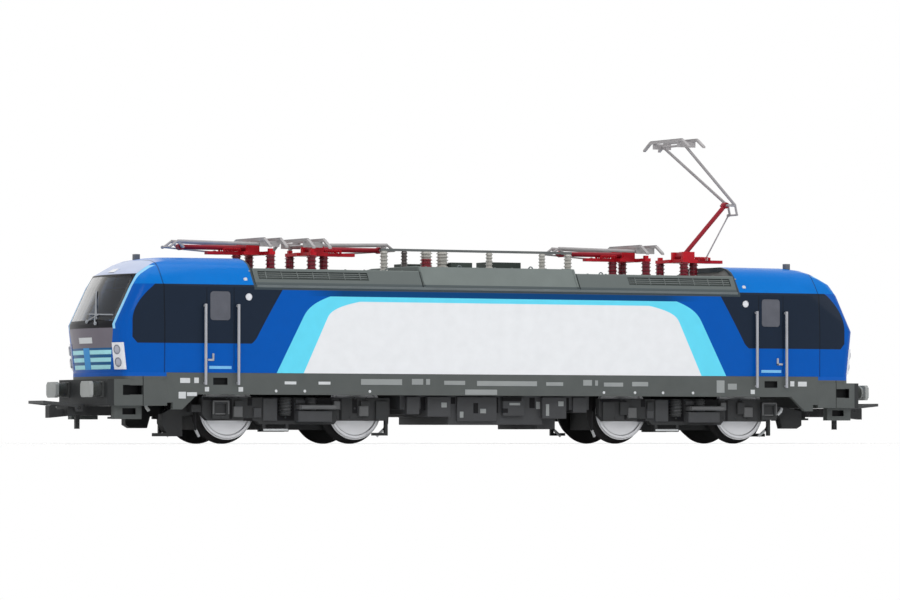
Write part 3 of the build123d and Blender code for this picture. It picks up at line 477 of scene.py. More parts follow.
def busbar_posts():
    """Pale busbar posts, one of them dark and one with a crimson foot."""
    finish = satin("insulator_pale", srgb(186, 184, 178), 0.25, coat=0.4)
    finish.layer(finish.x.line(-20.6, 2.0), srgb(84, 78, 76))
    finish.layer(finish.x.line(-14.5, 2.0) * finish.z.below(45.6), srgb(140, 40, 52))
    return finish


def roof_gear():
    """Dark cases in the middle of the roof, light horns over the cabs."""
    finish = satin("roof_gear", srgb(66, 74, 70), 0.5)
    finish.layer(abs(finish.x).above(80.0), srgb(112, 114, 116))
    return finish


# %% [markdown]
# Each finish gets the name of what it covers. Satin greys and blacks cover most of the
# running gear; insulators and lamps have a clear coat; wheel faces and springs are metal.

# %% The finishes
MOULDED = dict(
    roof_grey=roof_hoods(),
    frame_grey=underframe(),
    wheel_metal=wheels(),
    roof_gear=roof_gear(),
    chassis_metal=satin("cast_weight", srgb(70, 70, 72), 0.45, metallic=0.7),
    black_plastic=satin("bogie_black", srgb(56, 57, 58), 0.5, grain=0.4),
    buffer=buffer_heads(),
    bare_metal=satin("pale_metal", srgb(154, 157, 156), 0.42),
    wire=satin("busbar_grey", srgb(104, 108, 108), 0.4, metallic=0.3),
    insulator_brown=satin("insulator_brown", srgb(126, 30, 46), 0.22, coat=0.4),
    insulator_white=busbar_posts(),
    panto_red=satin("pantograph_red", srgb(200, 32, 46), 0.42),
    arm_red=satin("arm_red", srgb(148, 34, 47), 0.45),
    arm_metal=satin("arm_grey", srgb(170, 167, 168), 0.42),
    lamp=satin("lamp_pale", srgb(226, 228, 234), 0.15, grain=0.1, shade=0.05, coat=0.6),
    lens=satin("lamp_lens", srgb(168, 170, 184), 0.12, grain=0.1, shade=0.15, coat=0.8),
    handrail=satin("handrail_grey", srgb(172, 174, 180), 0.4, metallic=0.1),
    carbon=satin("contact_strip", srgb(140, 138, 140), 0.55),
    plate=satin("blank_plate", srgb(208, 211, 213), 0.5, shade=0.06),
    sill=satin("door_sill", srgb(124, 190, 236), 0.4, shade=0.08),
    gutter=satin("gutter_grey", srgb(104, 112, 114), 0.5),
    slat=satin("vent_slat", srgb(112, 118, 117), 0.5),
    bezel=satin("lamp_bezel", srgb(132, 136, 146), 0.35),
    wiper=satin("wiper_grey", srgb(150, 154, 160), 0.45),
    frame_dark=satin("headstock_dark", srgb(62, 64, 64), 0.5),
    skirt_plate=satin("blank_skirt_plate", srgb(150, 154, 154), 0.5, shade=0.12),
    rim_grey=satin("cover_rim_grey", srgb(98, 99, 100), 0.45),
    # Near-black plates, painted shade for deep openings in the tank and bogie frames.
    gap_shade_black=satin("gap_shade_black", srgb(22, 22, 24), 0.6),
    tank_grey=satin("tank_grey", srgb(72, 73, 75), 0.5, grain=0.4),
    rubber=satin("pipe_rubber", srgb(40, 40, 42), 0.6),
    spring=satin("spring_steel", srgb(74, 75, 76), 0.4, metallic=0.4),
)
FINISHES.update({name: finish.material for name, finish in MOULDED.items()})
print("moulded finishes:", len(MOULDED))


# %% [markdown]
# The windscreen is one clear moulding. Its rim is painted over, and the glass itself is more
# bowed than the shell around it, so the side turned away from the viewer mirrors the studio
# while the near side stays dark. Bending the shading normal across Y gives that bow.

# %% Glazing
GLASS_BOW = 0.05
RIM_WIDTH = 0.9


def glazing():
    """Dark see-through windscreens with a painted rim; cloudier grey door panes."""
    glass = Finish("cab_glazing", transmission_weight=1.0, ior=1.5, roughness=0.02)
    x, y, z = abs(glass.x), abs(glass.y), glass.z
    cloud = glass.noise(0.3, 3.0)
    glass.feed(base_color=glass.mix(cloud, srgb(96, 116, 146), srgb(110, 130, 158)))
    facing = glass.node("ShaderNodeNewGeometry", out="Normal")
    across = glass.node("ShaderNodeCombineXYZ", {}, {"Y": glass.y * GLASS_BOW})
    bowed = glass.vector("ADD", {0: facing, 1: across})
    glass.feed(normal=glass.vector("NORMALIZE", {0: bowed}))
    solid = glass.node("ShaderNodeBsdfPrincipled", {}, {"Roughness": 0.25})
    paint = solid.socket.node.inputs["Base Color"]
    pane = glass.mix(cloud, srgb(66, 70, 80), srgb(92, 94, 104))
    rim = y - front_edge(z)
    # The glass's painted rim runs from black to the corner's painted highlight, then to blue.
    edged = glass.mix(rim.above(CORNER_HIGHLIGHT_NEAR), FRONT_BLACK, CORNER_HIGHLIGHT)
    edged = glass.mix(rim.above(CORNER_HIGHLIGHT_FAR), edged, BLUE)
    doors = x.below(SCREEN_BACK_X)
    plug(glass.tree, paint, glass.mix(doors, edged, pane))
    covered = doors.maths("MAXIMUM", rim.above(-RIM_WIDTH))
    clear = Value(glass.tree, glass.shader.outputs[0])
    mixed = glass.node("ShaderNodeMixShader", {}, {0: covered, 1: clear, 2: solid})
    plug(glass.tree, glass.tree.nodes["Material Output"].inputs["Surface"], mixed)
    return glass.material


FINISHES["glass"] = glazing()
print("finishes:", ", ".join(sorted(FINISHES)))

# %% [markdown]
# ## Dressing the CAD nodes
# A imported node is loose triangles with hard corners. A small Geometry Nodes tree merges the
# triangles and shades the gentle bends smooth, and a bevel gives moulded parts the thin
# bright edge that real plastic has. The node's own mesh is not changed, only its modifiers
# and its finish.


# %% Smooth shading by angle
def geometry_tree(name, inputs):
    """An empty tree, its inputs' keys on a modifier, its inputs and its output's slot."""
    tree = bpy.data.node_groups.new(name, "GeometryNodeTree")
    keys = {}
    for label, kind in inputs.items():
        kind = "NodeSocket" + kind
        socket = tree.interface.new_socket(label, in_out="INPUT", socket_type=kind)
        keys[label] = socket.identifier
    tree.interface.new_socket("Mesh", in_out="OUTPUT", socket_type="NodeSocketGeometry")
    start = {s.name: Value(tree, s) for s in tree.nodes.new("NodeGroupInput").outputs}
    return tree, keys, start, tree.nodes.new("NodeGroupOutput").inputs["Mesh"]


def smooth_tree():
    """Merges loose triangles, smooths all faces and keeps the sharp edges."""
    sockets = {"Solid": "Geometry", "Angle": "Float"}
    tree, keys, start, end = geometry_tree("smooth_bends", sockets)
    inputs = {"Geometry": start["Solid"], "Distance": 1e-6}
    merged = add_node(tree, "GeometryNodeMergeByDistance", {}, inputs)
    rounded = add_node(tree, "GeometryNodeSetShadeSmooth", {}, {"Geometry": merged})
    bend = add_node(tree, "GeometryNodeInputMeshEdgeAngle", out="Unsigned Angle")
    inputs = {"A": bend, "B": start["Angle"]}
    sharp = add_node(tree, "FunctionNodeCompare", {"operation": "GREATER_THAN"}, inputs)
    inputs = {"Geometry": rounded, "Selection": sharp, "Shade Smooth": False}
    plug(tree, end, add_node(tree, "GeometryNodeSetShadeSmooth", {"domain": "EDGE"}, inputs))
    return tree, keys["Angle"]


SMOOTH, ANGLE_SOCKET = smooth_tree()
NODE_SMOOTH_ANGLE, PIECE_SMOOTH_ANGLE, BEVEL_ANGLE = map(math.radians, (32, 35, 50))
BEVELLED = {
    "underfloor_tank": 0.15,
    "bogie_frame_a": 0.16,
    "bogie_frame_b": 0.16,
    "buffers": 0.12,
    "roof_boxes": 0.1,
    "side_skirts": 0.1,
}


def dress(node):
    """Finish, smooth shading and, on moulded pieces, a fine bevel."""
    obj = frame["nodes"][node]
    shade = obj.modifiers.new("smooth", "NODES")
    shade.node_group = SMOOTH
    shade[ANGLE_SOCKET] = NODE_SMOOTH_ANGLE
    if node in BEVELLED:
        bevel = obj.modifiers.new("edge", "BEVEL")
        bevel.width = BEVELLED[node] * MM
        bevel.segments = 2
        bevel.limit_method = "ANGLE"
        bevel.angle_limit = BEVEL_ANGLE
    obj.data.materials.clear()
    obj.data.materials.append(FINISHES[FINISH_OF.get(node, slots[node])])


slots = {row["node"]: row["material_slot"] for row in frame["record"]["subparts"]}
FINISH_OF = {
    "underfloor_tank": "tank_grey",
    "door_handrails": "handrail",
    "buffers": "buffer",
    "roof_boxes": "roof_gear",
    "roof_busbar": "wire",
    "coupler_loop_a": "spring",
    "coupler_loop_b": "spring",
}
for number in range(1, 5):
    FINISH_OF[f"panto_{number}_lower_arm"] = "arm_red"
for node_name in frame["nodes"]:
    dress(node_name)
print("dressed", len(frame["nodes"]), "nodes")

# %% [markdown]
# ## Making fittings
# Small fittings are built with bmesh from five moves a model maker knows: a bevelled block, a
# turned form, a bent wire, a thin curved plate and a coil. Each maker collects its forms into
# one mesh, so a whole set of handles or pipes is one piece that rides on one body.


# %% The maker
COIL_STEPS = 12


def circle(sides):
    """Cosine and sine of even steps round a circle."""
    angles = [2 * math.pi * k / sides for k in range(sides)]
    return [(math.cos(a), math.sin(a)) for a in angles]


class Maker:
    """Collects forms, in millimetres, into one mesh."""

    def __init__(self):
        self.mesh = bmesh.new()

    def block(self, low, high, edge=0.06):
        low, high = Vector(map(min, low, high)), Vector(map(max, low, high))
        grid = bmesh.ops.create_cube(self.mesh, size=1.0)["verts"]
        place = Matrix.Translation((low + high) / 2) @ Matrix.Diagonal((*(high - low), 1.0))
        bmesh.ops.transform(self.mesh, matrix=place, verts=grid)
        edges = list({e for v in grid for e in v.link_edges})
        bmesh.ops.bevel(self.mesh, geom=edges, offset=edge, segments=1, affect="EDGES")

    def tube(self, rings):
        """Joins rings of points into a tube with flat ends."""
        rings = [[self.mesh.verts.new(point) for point in ring] for ring in rings]
        for low, high in zip(rings, rings[1:]):
            for k in range(len(low)):
                n = (k + 1) % len(low)
                self.mesh.faces.new((low[k], low[n], high[n], high[k]))
        self.mesh.faces.new(rings[0][::-1])
        self.mesh.faces.new(rings[-1])

    def turned(self, centre, axis, profile, sides=20):
        """A form turned round an axis; the profile is (along, radius) pairs."""
        turn = Vector((0, 0, 1)).rotation_difference(Vector(axis)).to_matrix()
        rings = []
        for along, radius in profile:
            ring = [Vector((radius * c, radius * s, along)) for c, s in circle(sides)]
            rings.append([Vector(centre) + turn @ point for point in ring])
        self.tube(rings)

    def wire(self, points, radius, sides=8):
        """A round wire or pipe through points, its bends rounded by more points."""
        path = [Vector(p) for p in points]
        side = None
        rings = []
        for i, point in enumerate(path):
            ahead = (path[min(i + 1, len(path) - 1)] - path[max(i - 1, 0)]).normalized()
            if side is None:
                side = ahead.orthogonal().normalized()
            side = (side - ahead * side.dot(ahead)).normalized()
            other = ahead.cross(side)
            rings.append([point + (side * c + other * s) * radius for c, s in circle(sides)])
        self.tube(rings)

    def sheet(self, rows, depth):
        """A thin curved plate: rows of points on its face, and the way to its back."""
        face = [[self.mesh.verts.new(p) for p in row] for row in rows]
        back = [[self.mesh.verts.new(Vector(p) + Vector(depth)) for p in row] for row in rows]
        high, wide = len(rows) - 1, len(rows[0]) - 1
        for side in (face, back):
            for i in range(high):
                row, after = side[i], side[i + 1]
                for j in range(wide):
                    self.mesh.faces.new((row[j], row[j + 1], after[j + 1], after[j]))
        rim = [(0, j) for j in range(wide)] + [(i, wide) for i in range(high)]
        rim += [(high, j) for j in range(wide, 0, -1)] + [(i, 0) for i in range(high, 0, -1)]
        for (i, j), (m, n) in zip(rim, rim[1:] + rim[:1]):
            self.mesh.faces.new((face[i][j], face[m][n], back[m][n], back[i][j]))

    def coil(self, foot, top, radius, turns, wire):
        """A coil spring from foot to top."""
        foot, top = Vector(foot), Vector(top)
        along = (top - foot).normalized()
        side = along.orthogonal().normalized()
        other = along.cross(side)
        count = turns * COIL_STEPS
        points = []
        for k in range(count + 1):
            a = 2 * math.pi * k / COIL_STEPS
            out = side * math.cos(a) + other * math.sin(a)
            points.append(foot.lerp(top, k / count) + out * radius)
        self.wire(points, wire, 6)

    def done(self, name, body, finish, slot):
        """The finished piece: normals out, in metres, riding on its body."""
        bmesh.ops.recalc_face_normals(self.mesh, faces=self.mesh.faces)
        bmesh.ops.scale(self.mesh, vec=(MM, MM, MM), verts=self.mesh.verts)
        data = bpy.data.meshes.new(name)
        self.mesh.to_mesh(data)
        self.mesh.free()
        return settle(name, data, body, finish)


# %% Settling a piece
def settle(name, data, body, finish):
    """Links a mesh as a piece with smooth bends, its finish and its body."""
    data.polygons.foreach_set("use_smooth", [True] * len(data.polygons))
    data.set_sharp_from_angle(angle=PIECE_SMOOTH_ANGLE)
    data.materials.clear()
    data.materials.append(FINISHES[finish])
    piece = bpy.data.objects.new(name, data)
    bpy.context.scene.collection.objects.link(piece)
    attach(piece, body)
    return piece


def half_ring(foot, radius, count=8):
    """Points of an eye: half a circle along X that stands on its foot."""
    angles = [math.pi * k / count for k in range(count + 1)]
    x, y, z = foot
    return [(x + radius * math.cos(a), y, z + radius * math.sin(a)) for a in angles]


ROOT = "locomotive_body"
print("maker ready")

# %% [markdown]
# ## Repeats with Geometry Nodes
# Insulator sheds, bolt heads and vent slats are one small form repeated many times. One tree
# does all of them: it puts a pattern object on every point, turned and stretched by the
# point's own attributes, then realizes the copies so that the result is a plain mesh.


# %% The repeating tree
def repeat_tree():
    """Copies of a pattern on points, as one plain mesh."""
    sockets = {"Points": "Geometry", "Pattern": "Object", "Size": "Float", "Finish": "Material"}
    tree, keys, start, end = geometry_tree("repeat_on_points", sockets)
    inputs = {"Object": start["Pattern"]}
    form = add_node(tree, "GeometryNodeObjectInfo", {}, inputs, "Geometry")
    attribute, settings = "GeometryNodeInputNamedAttribute", {"data_type": "FLOAT_VECTOR"}
    turn = add_node(tree, attribute, settings, {"Name": "turn"})
    stretch = add_node(tree, attribute, settings, {"Name": "stretch"})
    inputs = {0: stretch, "Scale": start["Size"]}
    scale = add_node(tree, "ShaderNodeVectorMath", {"operation": "SCALE"}, inputs)
    inputs = {"Points": start["Points"], "Instance": form, "Rotation": turn, "Scale": scale}
    copies = add_node(tree, "GeometryNodeInstanceOnPoints", {}, inputs)
    plain = add_node(tree, "GeometryNodeRealizeInstances", {}, {"Geometry": copies})
    inputs = {"Geometry": plain, "Material": start["Finish"]}
    plug(tree, end, add_node(tree, "GeometryNodeSetMaterial", {}, inputs))
    return tree, keys


REPEAT, REPEAT_SOCKETS = repeat_tree()


# %% Patterns and their copies
def pattern(name, make):
    """A small form at the origin, in millimetres, kept only while its copies are made."""
    maker = Maker()
    make(maker)
    bmesh.ops.recalc_face_normals(maker.mesh, faces=maker.mesh.faces)
    data = bpy.data.meshes.new(name)
    maker.mesh.to_mesh(data)
    maker.mesh.free()
    return bpy.data.objects.new(name, data)


def repeat(name, form, places, body, finish):
    """Copies of a form; a place is (point, turn in degrees, stretch)."""
    points = bpy.data.meshes.new(name + "_points")
    points.from_pydata([tuple(Vector(p) * MM) for p, _, _ in places], [], [])
    for label, values in (
        ("turn", [v for _, turn, _ in places for v in map(math.radians, turn)]),
        ("stretch", [v for _, _, stretch in places for v in stretch]),
    ):
        layer = points.attributes.new(label, "FLOAT_VECTOR", "POINT")
        layer.data.foreach_set("vector", values)
    carrier = bpy.data.objects.new(name + "_carrier", points)
    bpy.context.scene.collection.objects.link(carrier)
    grow = carrier.modifiers.new("repeat", "NODES")
    grow.node_group = REPEAT
    grow[REPEAT_SOCKETS["Pattern"]] = form
    grow[REPEAT_SOCKETS["Size"]] = MM
    grow[REPEAT_SOCKETS["Finish"]] = FINISHES[finish]
    bpy.context.view_layer.update()
    grown = carrier.evaluated_get(bpy.context.evaluated_depsgraph_get())
    data = bpy.data.meshes.new_from_object(grown)
    carrier.modifiers.remove(grow)
    bpy.data.objects.remove(carrier)
    print(name + ":", len(places), "copies,", len(data.polygons), "faces")
    return settle(name, data, body, finish)


UPRIGHT = (0.0, 0.0, 0.0)
PLAIN = (1.0, 1.0, 1.0)
ORIGIN, UP = (0, 0, 0), (0, 0, 1)
SHED = [(-0.18, 0.8), (-0.1, 1.0), (0.02, 1.0), (0.2, 0.8)]
BOLT = [(0, 0.3), (0.1, 0.3), (0.16, 0.2)]
CUBE = ((-0.5, -0.5, -0.5), (0.5, 0.5, 0.5))
shed = pattern("shed", lambda maker: maker.turned(ORIGIN, UP, SHED, 20))
bolt = pattern("bolt", lambda maker: maker.turned(ORIGIN, UP, BOLT, 6))
slat = pattern("slat", lambda maker: maker.block(*CUBE, 0.12))
print("patterns: shed, bolt, slat")

# %% [markdown]
# ## Roof insulators
# Every pantograph foot and busbar post stands on a ribbed insulator. The CAD post is the
# core; the sheds round it are turned discs, spaced evenly up the post.


# %% Sheds on the posts
def shed_places(boxes, pitch, grow):
    """Places up each post, for sheds a little wider than the post."""
    places = []
    for low, high in boxes:
        middle = (low + high) / 2
        radius = (high.x - low.x) / 2 * grow
        count = max(2, int((high.z - low.z) / pitch))
        for k in range(count):
            z = low.z + (high.z - low.z) * (k + 0.5) / count
            places.append(((middle.x, middle.y, z), UPRIGHT, (radius, radius, 1.0)))
    return places


SHED_PITCH = 0.75
for name, boxes, grow, finish in (
    ("panto_insulator_sheds", insulator_boxes, 1.25, "insulator_brown"),
    ("roof_post_sheds", post_boxes, 1.3, "insulator_white"),
):
    repeat(name, shed, shed_places(boxes, SHED_PITCH, grow), ROOT, finish)

# %% [markdown]
# ## Front fittings
# The front carries a blank plate, two lenses in each corner lamp, and a pair of wipers
# moulded onto the glass. Plates and wipers follow the bowed front, so each of their points
# is found with a ray; a lens faces the way the skin faces under it.

# %% Front plates, lenses and wipers
PLATE_HALF, PLATE_FOOT_Z, PLATE_TOP_Z = 3.7, 24.0, 25.4
LENS_OFFSET, LAMP_HEIGHT = 1.5, 3.0
BEZEL = [(-0.2, 1.15), (0.1, 1.15), (0.16, 1.08), (0.16, 0.98), (0.02, 0.92), (0.02, 0.02)]
LENS = [(-0.2, 0.9), (0.05, 0.9), (0.14, 0.7), (0.2, 0.4), (0.22, 0.02)]
WIPER_FOOT = [(0, 0.45), (0.35, 0.45), (0.45, 0.3)]
WIPERS = (
    ((5.8, 29.8), (-1.0, 36.6), (6.2, 28.7), (2.7, 33.2)),
    ((0.7, 31.0), (11.6, 30.7), (1.6, 29.2), (6.0, 30.8)),
)
front_plates, bezels, lenses, wipers = Maker(), Maker(), Maker(), Maker()


def along_nose(end, start, stop, lift, count=8):
    """Points over the nose's skin between two places (y, z)."""
    points = []
    for k in range(count + 1):
        y, z = [a + (b - a) * k / count for a, b in zip(start, stop)]
        points.append(on_nose(end, y, z, lift))
    return points


for end in ENDS:
    rows = []
    for z in (PLATE_FOOT_Z, PLATE_TOP_Z):
        rows.append(along_nose(end, (-PLATE_HALF, z), (PLATE_HALF, z), 0.12))
    front_plates.sheet(rows, (-end * 0.4, 0, 0))
    for places in WIPERS:
        tip, heel, foot, grip = [(y * end, z) for y, z in places]
        wipers.wire(along_nose(end, tip, heel, 0.22), 0.17, 6)
        wipers.wire(along_nose(end, foot, grip, 0.42), 0.15, 6)
        wipers.turned(on_nose(end, *foot, 0.1), (end, 0, 0), WIPER_FOOT, 12)
for low, high in lamp_boxes:
    end, middle = math.copysign(1, low.x), (low + high) / 2
    if high.z - low.z > LAMP_HEIGHT:
        for z in (middle.z - LENS_OFFSET, middle.z + LENS_OFFSET):
            centre, way = on_nose(end, middle.y, z), nose_way(end, middle.y, z)
            bezels.turned(centre, way, BEZEL, 24)
            lenses.turned(centre, way, LENS, 24)
front_plates.done("front_plates", ROOT, "plate", "body_paint")
bezels.done("lamp_bezels", ROOT, "bezel", "lamp")
lenses.done("lamp_lenses", ROOT, "lens", "lamp")
wipers.done("wipers", ROOT, "wiper", "black_plastic")
print("front: 2 plates, 8 lenses, 4 wipers")

# %% [markdown]
# ## Side fittings
# Low on each side sit small blank plates, a pale sill under each cab door and the door's
# handle. A round lamp sits high behind the cab, and dark plates on the tank are painted shade
# for the deep openings between its parts. Each is a thin block or turned form sunk into the
# skin, so that no gap shows behind.


# %% Plates, sills and handles
def side_block(maker, side, x0, x1, z0, z1, proud, edge=0.03, tree=None):
    """A thin block on the side's skin."""
    y = on_side(side, (x0 + x1) / 2, (z0 + z1) / 2, tree)[1]
    maker.block((x0, y - side * 0.2, z0), (x1, y + side * proud, z1), edge)


SIDE_PLATES = ((85.0, 87.6, 14.5, 15.7), (82.7, 83.9, 14.5, 15.8), (71.0, 72.2, 12.5, 13.6))
LEFT_PLATES = (
    (86.1, 88.0, 10.8, 12.4),
    (83.2, 85.8, 11.4, 12.3),
    (80.0, 81.1, 12.5, 13.6),
    (56.8, 59.9, 14.3, 15.0),
    (47.6, 50.8, 14.3, 15.0),
)
SKIRT_DOTS = (-62.2, -54.5, -36.9, 28.4, 37.3, 45.4, 54.1)
LONG_PLATES = (
    (-39.3, -28.1, 14.3, 15.7),
    (-25.4, -22.3, 14.4, 15.8),
    (-21.5, -20.4, 14.4, 15.8),
    (-16.5, -10.7, 14.4, 15.4),
    (-10.7, -1.8, 12.0, 13.3),
    (-7.4, 9.4, 14.2, 15.4),
    (12.0, 16.8, 14.3, 15.2),
    (22.5, 25.0, 14.4, 15.8),
    (25.9, 26.7, 14.4, 15.7),
    (28.4, 33.9, 14.2, 15.2),
    (36.5, 41.1, 14.3, 15.4),
    (61.0, 63.3, 12.8, 15.9),
    (64.3, 66.9, 13.6, 15.1),
)
TANK_PLATES = (
    (-15.7, -14.2, 8.9, 10.1),
    (-10.3, -9.3, 6.4, 7.9),
    (-4.6, -3.0, 7.5, 8.6),
    (3.4, 6.4, 9.5, 10.1),
    (11.5, 12.6, 8.6, 10.4),
    (13.6, 14.5, 6.9, 9.8),
    (17.1, 18.6, 9.3, 10.5),
)
# Dark plates on the tank, painted shade for its deep openings: x from, x to, z from, z to.
TANK_GAP_SHADES = (
    (-20.8, -19.2, 8.3, 11.4),
    (-12.4, -11.2, 9.8, 11.4),
    (-6.5, -5.2, 7.5, 10.0),
    (-0.6, 0.8, 7.6, 11.4),
    (1.4, 6.8, 10.5, 11.4),
    (1.4, 3.0, 7.6, 8.7),
    (9.6, 11.1, 8.8, 11.4),
    (19.8, 20.8, 8.3, 11.4),
)
HANDLE = ((78.7, 79.2, 19.8, 21.6), (78.7, 80.4, 19.8, 20.3))
SILL = (74.1, 80.0, 17.9, 18.6)
GUTTER = (-67.3, 67.3, 37.55, 38.15)
SIDE_LAMPS = ((69.5, 35.2, 0.85), (69.8, 39.4, 0.5))
SIDE_LAMP = [(-0.2, 1.0), (0.16, 1.0), (0.24, 0.9), (0.1, 0.8), (0.2, 0.4), (0.22, 0.02)]
DOT_Z, DOT = 12.7, [(-0.1, 0.36), (0.06, 0.36), (0.12, 0.26)]
print("plates:", len(SIDE_PLATES + LEFT_PLATES + LONG_PLATES + TANK_PLATES), "rows")

# %% Fitting the sides
side_plates, sills, handles, side_lamps = [Maker() for _ in range(4)]
gutters, long_plates, tank_gaps = [Maker() for _ in range(3)]
tank_skin = skin("underfloor_tank")
for side in SIDES:
    for maker, rows, proud, edge, tree in (
        (long_plates, LONG_PLATES, 0.06, 0.03, side_skin),
        (long_plates, TANK_PLATES, 0.06, 0.03, tank_skin),
        (tank_gaps, TANK_GAP_SHADES, 0.05, 0.02, tank_skin),
    ):
        for x0, x1, z0, z1 in rows:
            side_block(maker, side, -side * x0, -side * x1, z0, z1, proud, edge, tree)
    for x in SKIRT_DOTS:
        side_plates.turned(on_side(side, -side * x, DOT_Z), (0, side, 0), DOT, 12)
    side_block(gutters, side, *GUTTER, 0.25, 0.08)
    for end in ENDS:
        for x0, x1, z0, z1 in SIDE_PLATES + (LEFT_PLATES if end == side else ()):
            side_block(side_plates, side, end * x0, end * x1, z0, z1, 0.08)
        for x0, x1, z0, z1 in HANDLE:
            side_block(handles, side, end * x0, end * x1, z0, z1, 0.3, 0.08)
        side_block(sills, side, end * SILL[0], end * SILL[1], *SILL[2:], 0.15)
        for x, z, radius in SIDE_LAMPS:
            profile = [(along, share * radius) for along, share in SIDE_LAMP]
            side_lamps.turned(on_side(side, end * x, z), (0, side, 0), profile, 20)
side_plates.done("side_plates", ROOT, "plate", "body_paint")
long_plates.done("skirt_plates", ROOT, "skirt_plate", "frame_grey")
tank_gaps.done("tank_gaps", ROOT, "gap_shade_black", "black_plastic")
sills.done("door_sills", ROOT, "sill", "body_paint")
handles.done("door_handles", ROOT, "handrail", "bare_metal")
side_lamps.done("side_lamps", ROOT, "lamp", "lamp")
gutters.done("roof_gutters", ROOT, "gutter", "roof_grey")
print("sides: plates, sills, handles, lamps and gutters")

# %% [markdown]
# ## Roof fittings
# The slanted hood sides have vents with three louvre slats and upright dividers. Slats and
# bolts repeat in rows, so they are copied onto points; a slat leans as far as the hood side
# does. A plate closes the open rear of each cab roof, beads cover the joints between the
# hoods, and small bent-wire eyes stand along their edges.

# %% Vents and bolts
hood_top = box_mm("roof_hood_a")[1].z
centre_high = box_mm("roof_hood_centre")[1]
hood_skin = skin("roof_hood_a", "roof_hood_b", "roof_hood_centre")
HOOD_LEAN = 30.5
VENT_X = (36.5, 66.1)
SLAT_Z = (40.05, 40.55, 41.05)
SLAT_DEEP, SLAT_HIGH, DIVIDER = 0.3, 0.2, (0.22, 0.4, 2.0)
DIVIDERS, HOOD_BOLTS = 7, 9
END_BOLT_X, END_BOLT_PITCH, END_BOLT_Y = 26.0, 5.2, 13.4
MID_BOLT_PITCH, MID_BOLT_Y = 4.8, 12.8


def on_hood(side, x, z):
    """How far out the hood's slanted side stands at this place."""
    return on_side(side, x, z, hood_skin)[1]


slats, bolts = [], []
VENT_LENGTH = VENT_X[1] - VENT_X[0]
for side in SIDES:
    lean = (side * HOOD_LEAN, 0.0, 0.0)
    for end in ENDS:
        middle_x = end * sum(VENT_X) / 2
        for z in SLAT_Z:
            spot = (middle_x, on_hood(side, middle_x, z), z)
            slats.append((spot, lean, (VENT_LENGTH - 0.4, SLAT_DEEP, SLAT_HIGH)))
        for k in range(DIVIDERS):
            x = middle_x + (k - DIVIDERS // 2) * VENT_LENGTH / DIVIDERS
            slats.append(((x, on_hood(side, x, SLAT_Z[1]), SLAT_Z[1]), lean, DIVIDER))
        for k in range(HOOD_BOLTS):
            x = end * (END_BOLT_X + k * END_BOLT_PITCH)
            bolts.append(((x, side * END_BOLT_Y, hood_top), UPRIGHT, PLAIN))
    for k in range(HOOD_BOLTS):
        x = (k - HOOD_BOLTS // 2) * MID_BOLT_PITCH
        bolts.append(((x, side * MID_BOLT_Y, centre_high.z), UPRIGHT, PLAIN))
repeat("vent_slats", slat, slats, ROOT, "slat")
repeat("hood_bolts", bolt, bolts, ROOT, "roof_grey")

# %% Bulkheads behind the cab roofs
BULKHEAD_X = 67.9
ROOF_SECTION = ((41.4, 14.8), (42.0, 14.15), (43.2, 12.85), (44.1, 10.95), (44.6, 8.3))
bulkheads = Maker()
for end in ENDS:
    rows = []
    for z, half in ROOF_SECTION:
        rows.append([(end * BULKHEAD_X, half * (k - 6) / 6, z) for k in range(13)])
    bulkheads.sheet(rows, (end * 0.4, 0, 0))
# The pale metal is lighter than the roof's grey: painted light, as the plates stand in the
# roof's shade.
bulkheads.done("cab_roof_bulkheads", ROOT, "bare_metal", "roof_grey")
print("bulkheads: 2")

# %% Beads and eyes
BEAD_Z, BEAD_TOP_Y = (38.6, 40.8, 43.1), 12.0
EYE_X, EYE_Y, EYE_RADIUS = (30.0, 68.0, 10.0), 13.0, 0.55
beads, eyes = Maker(), Maker()
for end in ENDS:
    x = end * (centre_high.x - 0.4)
    section = [(x, on_hood(-1, x, z), z) for z in BEAD_Z]
    section += [(x, -BEAD_TOP_Y, centre_high.z), (x, BEAD_TOP_Y, centre_high.z)]
    section += [(x, on_hood(1, x, z), z) for z in BEAD_Z[::-1]]
    beads.wire(section, 0.24, 8)
    for side in SIDES:
        for x in EYE_X:
            top = centre_high.z if x < centre_high.x else hood_top
            foot = (end * x, side * EYE_Y, top - 0.1)
            eyes.wire(half_ring(foot, EYE_RADIUS), 0.16, 6)
beads.done("hood_beads", ROOT, "roof_grey", "roof_grey")
eyes.done("lifting_eyes", ROOT, "gutter", "roof_grey")
print("roof: 2 beads, 12 eyes")

# %% [markdown]
# ## Ends
# Behind each buffer stands a flange with a collar and four bolts. A short pale lug bends out
# from under the skirt behind one corner of each end.

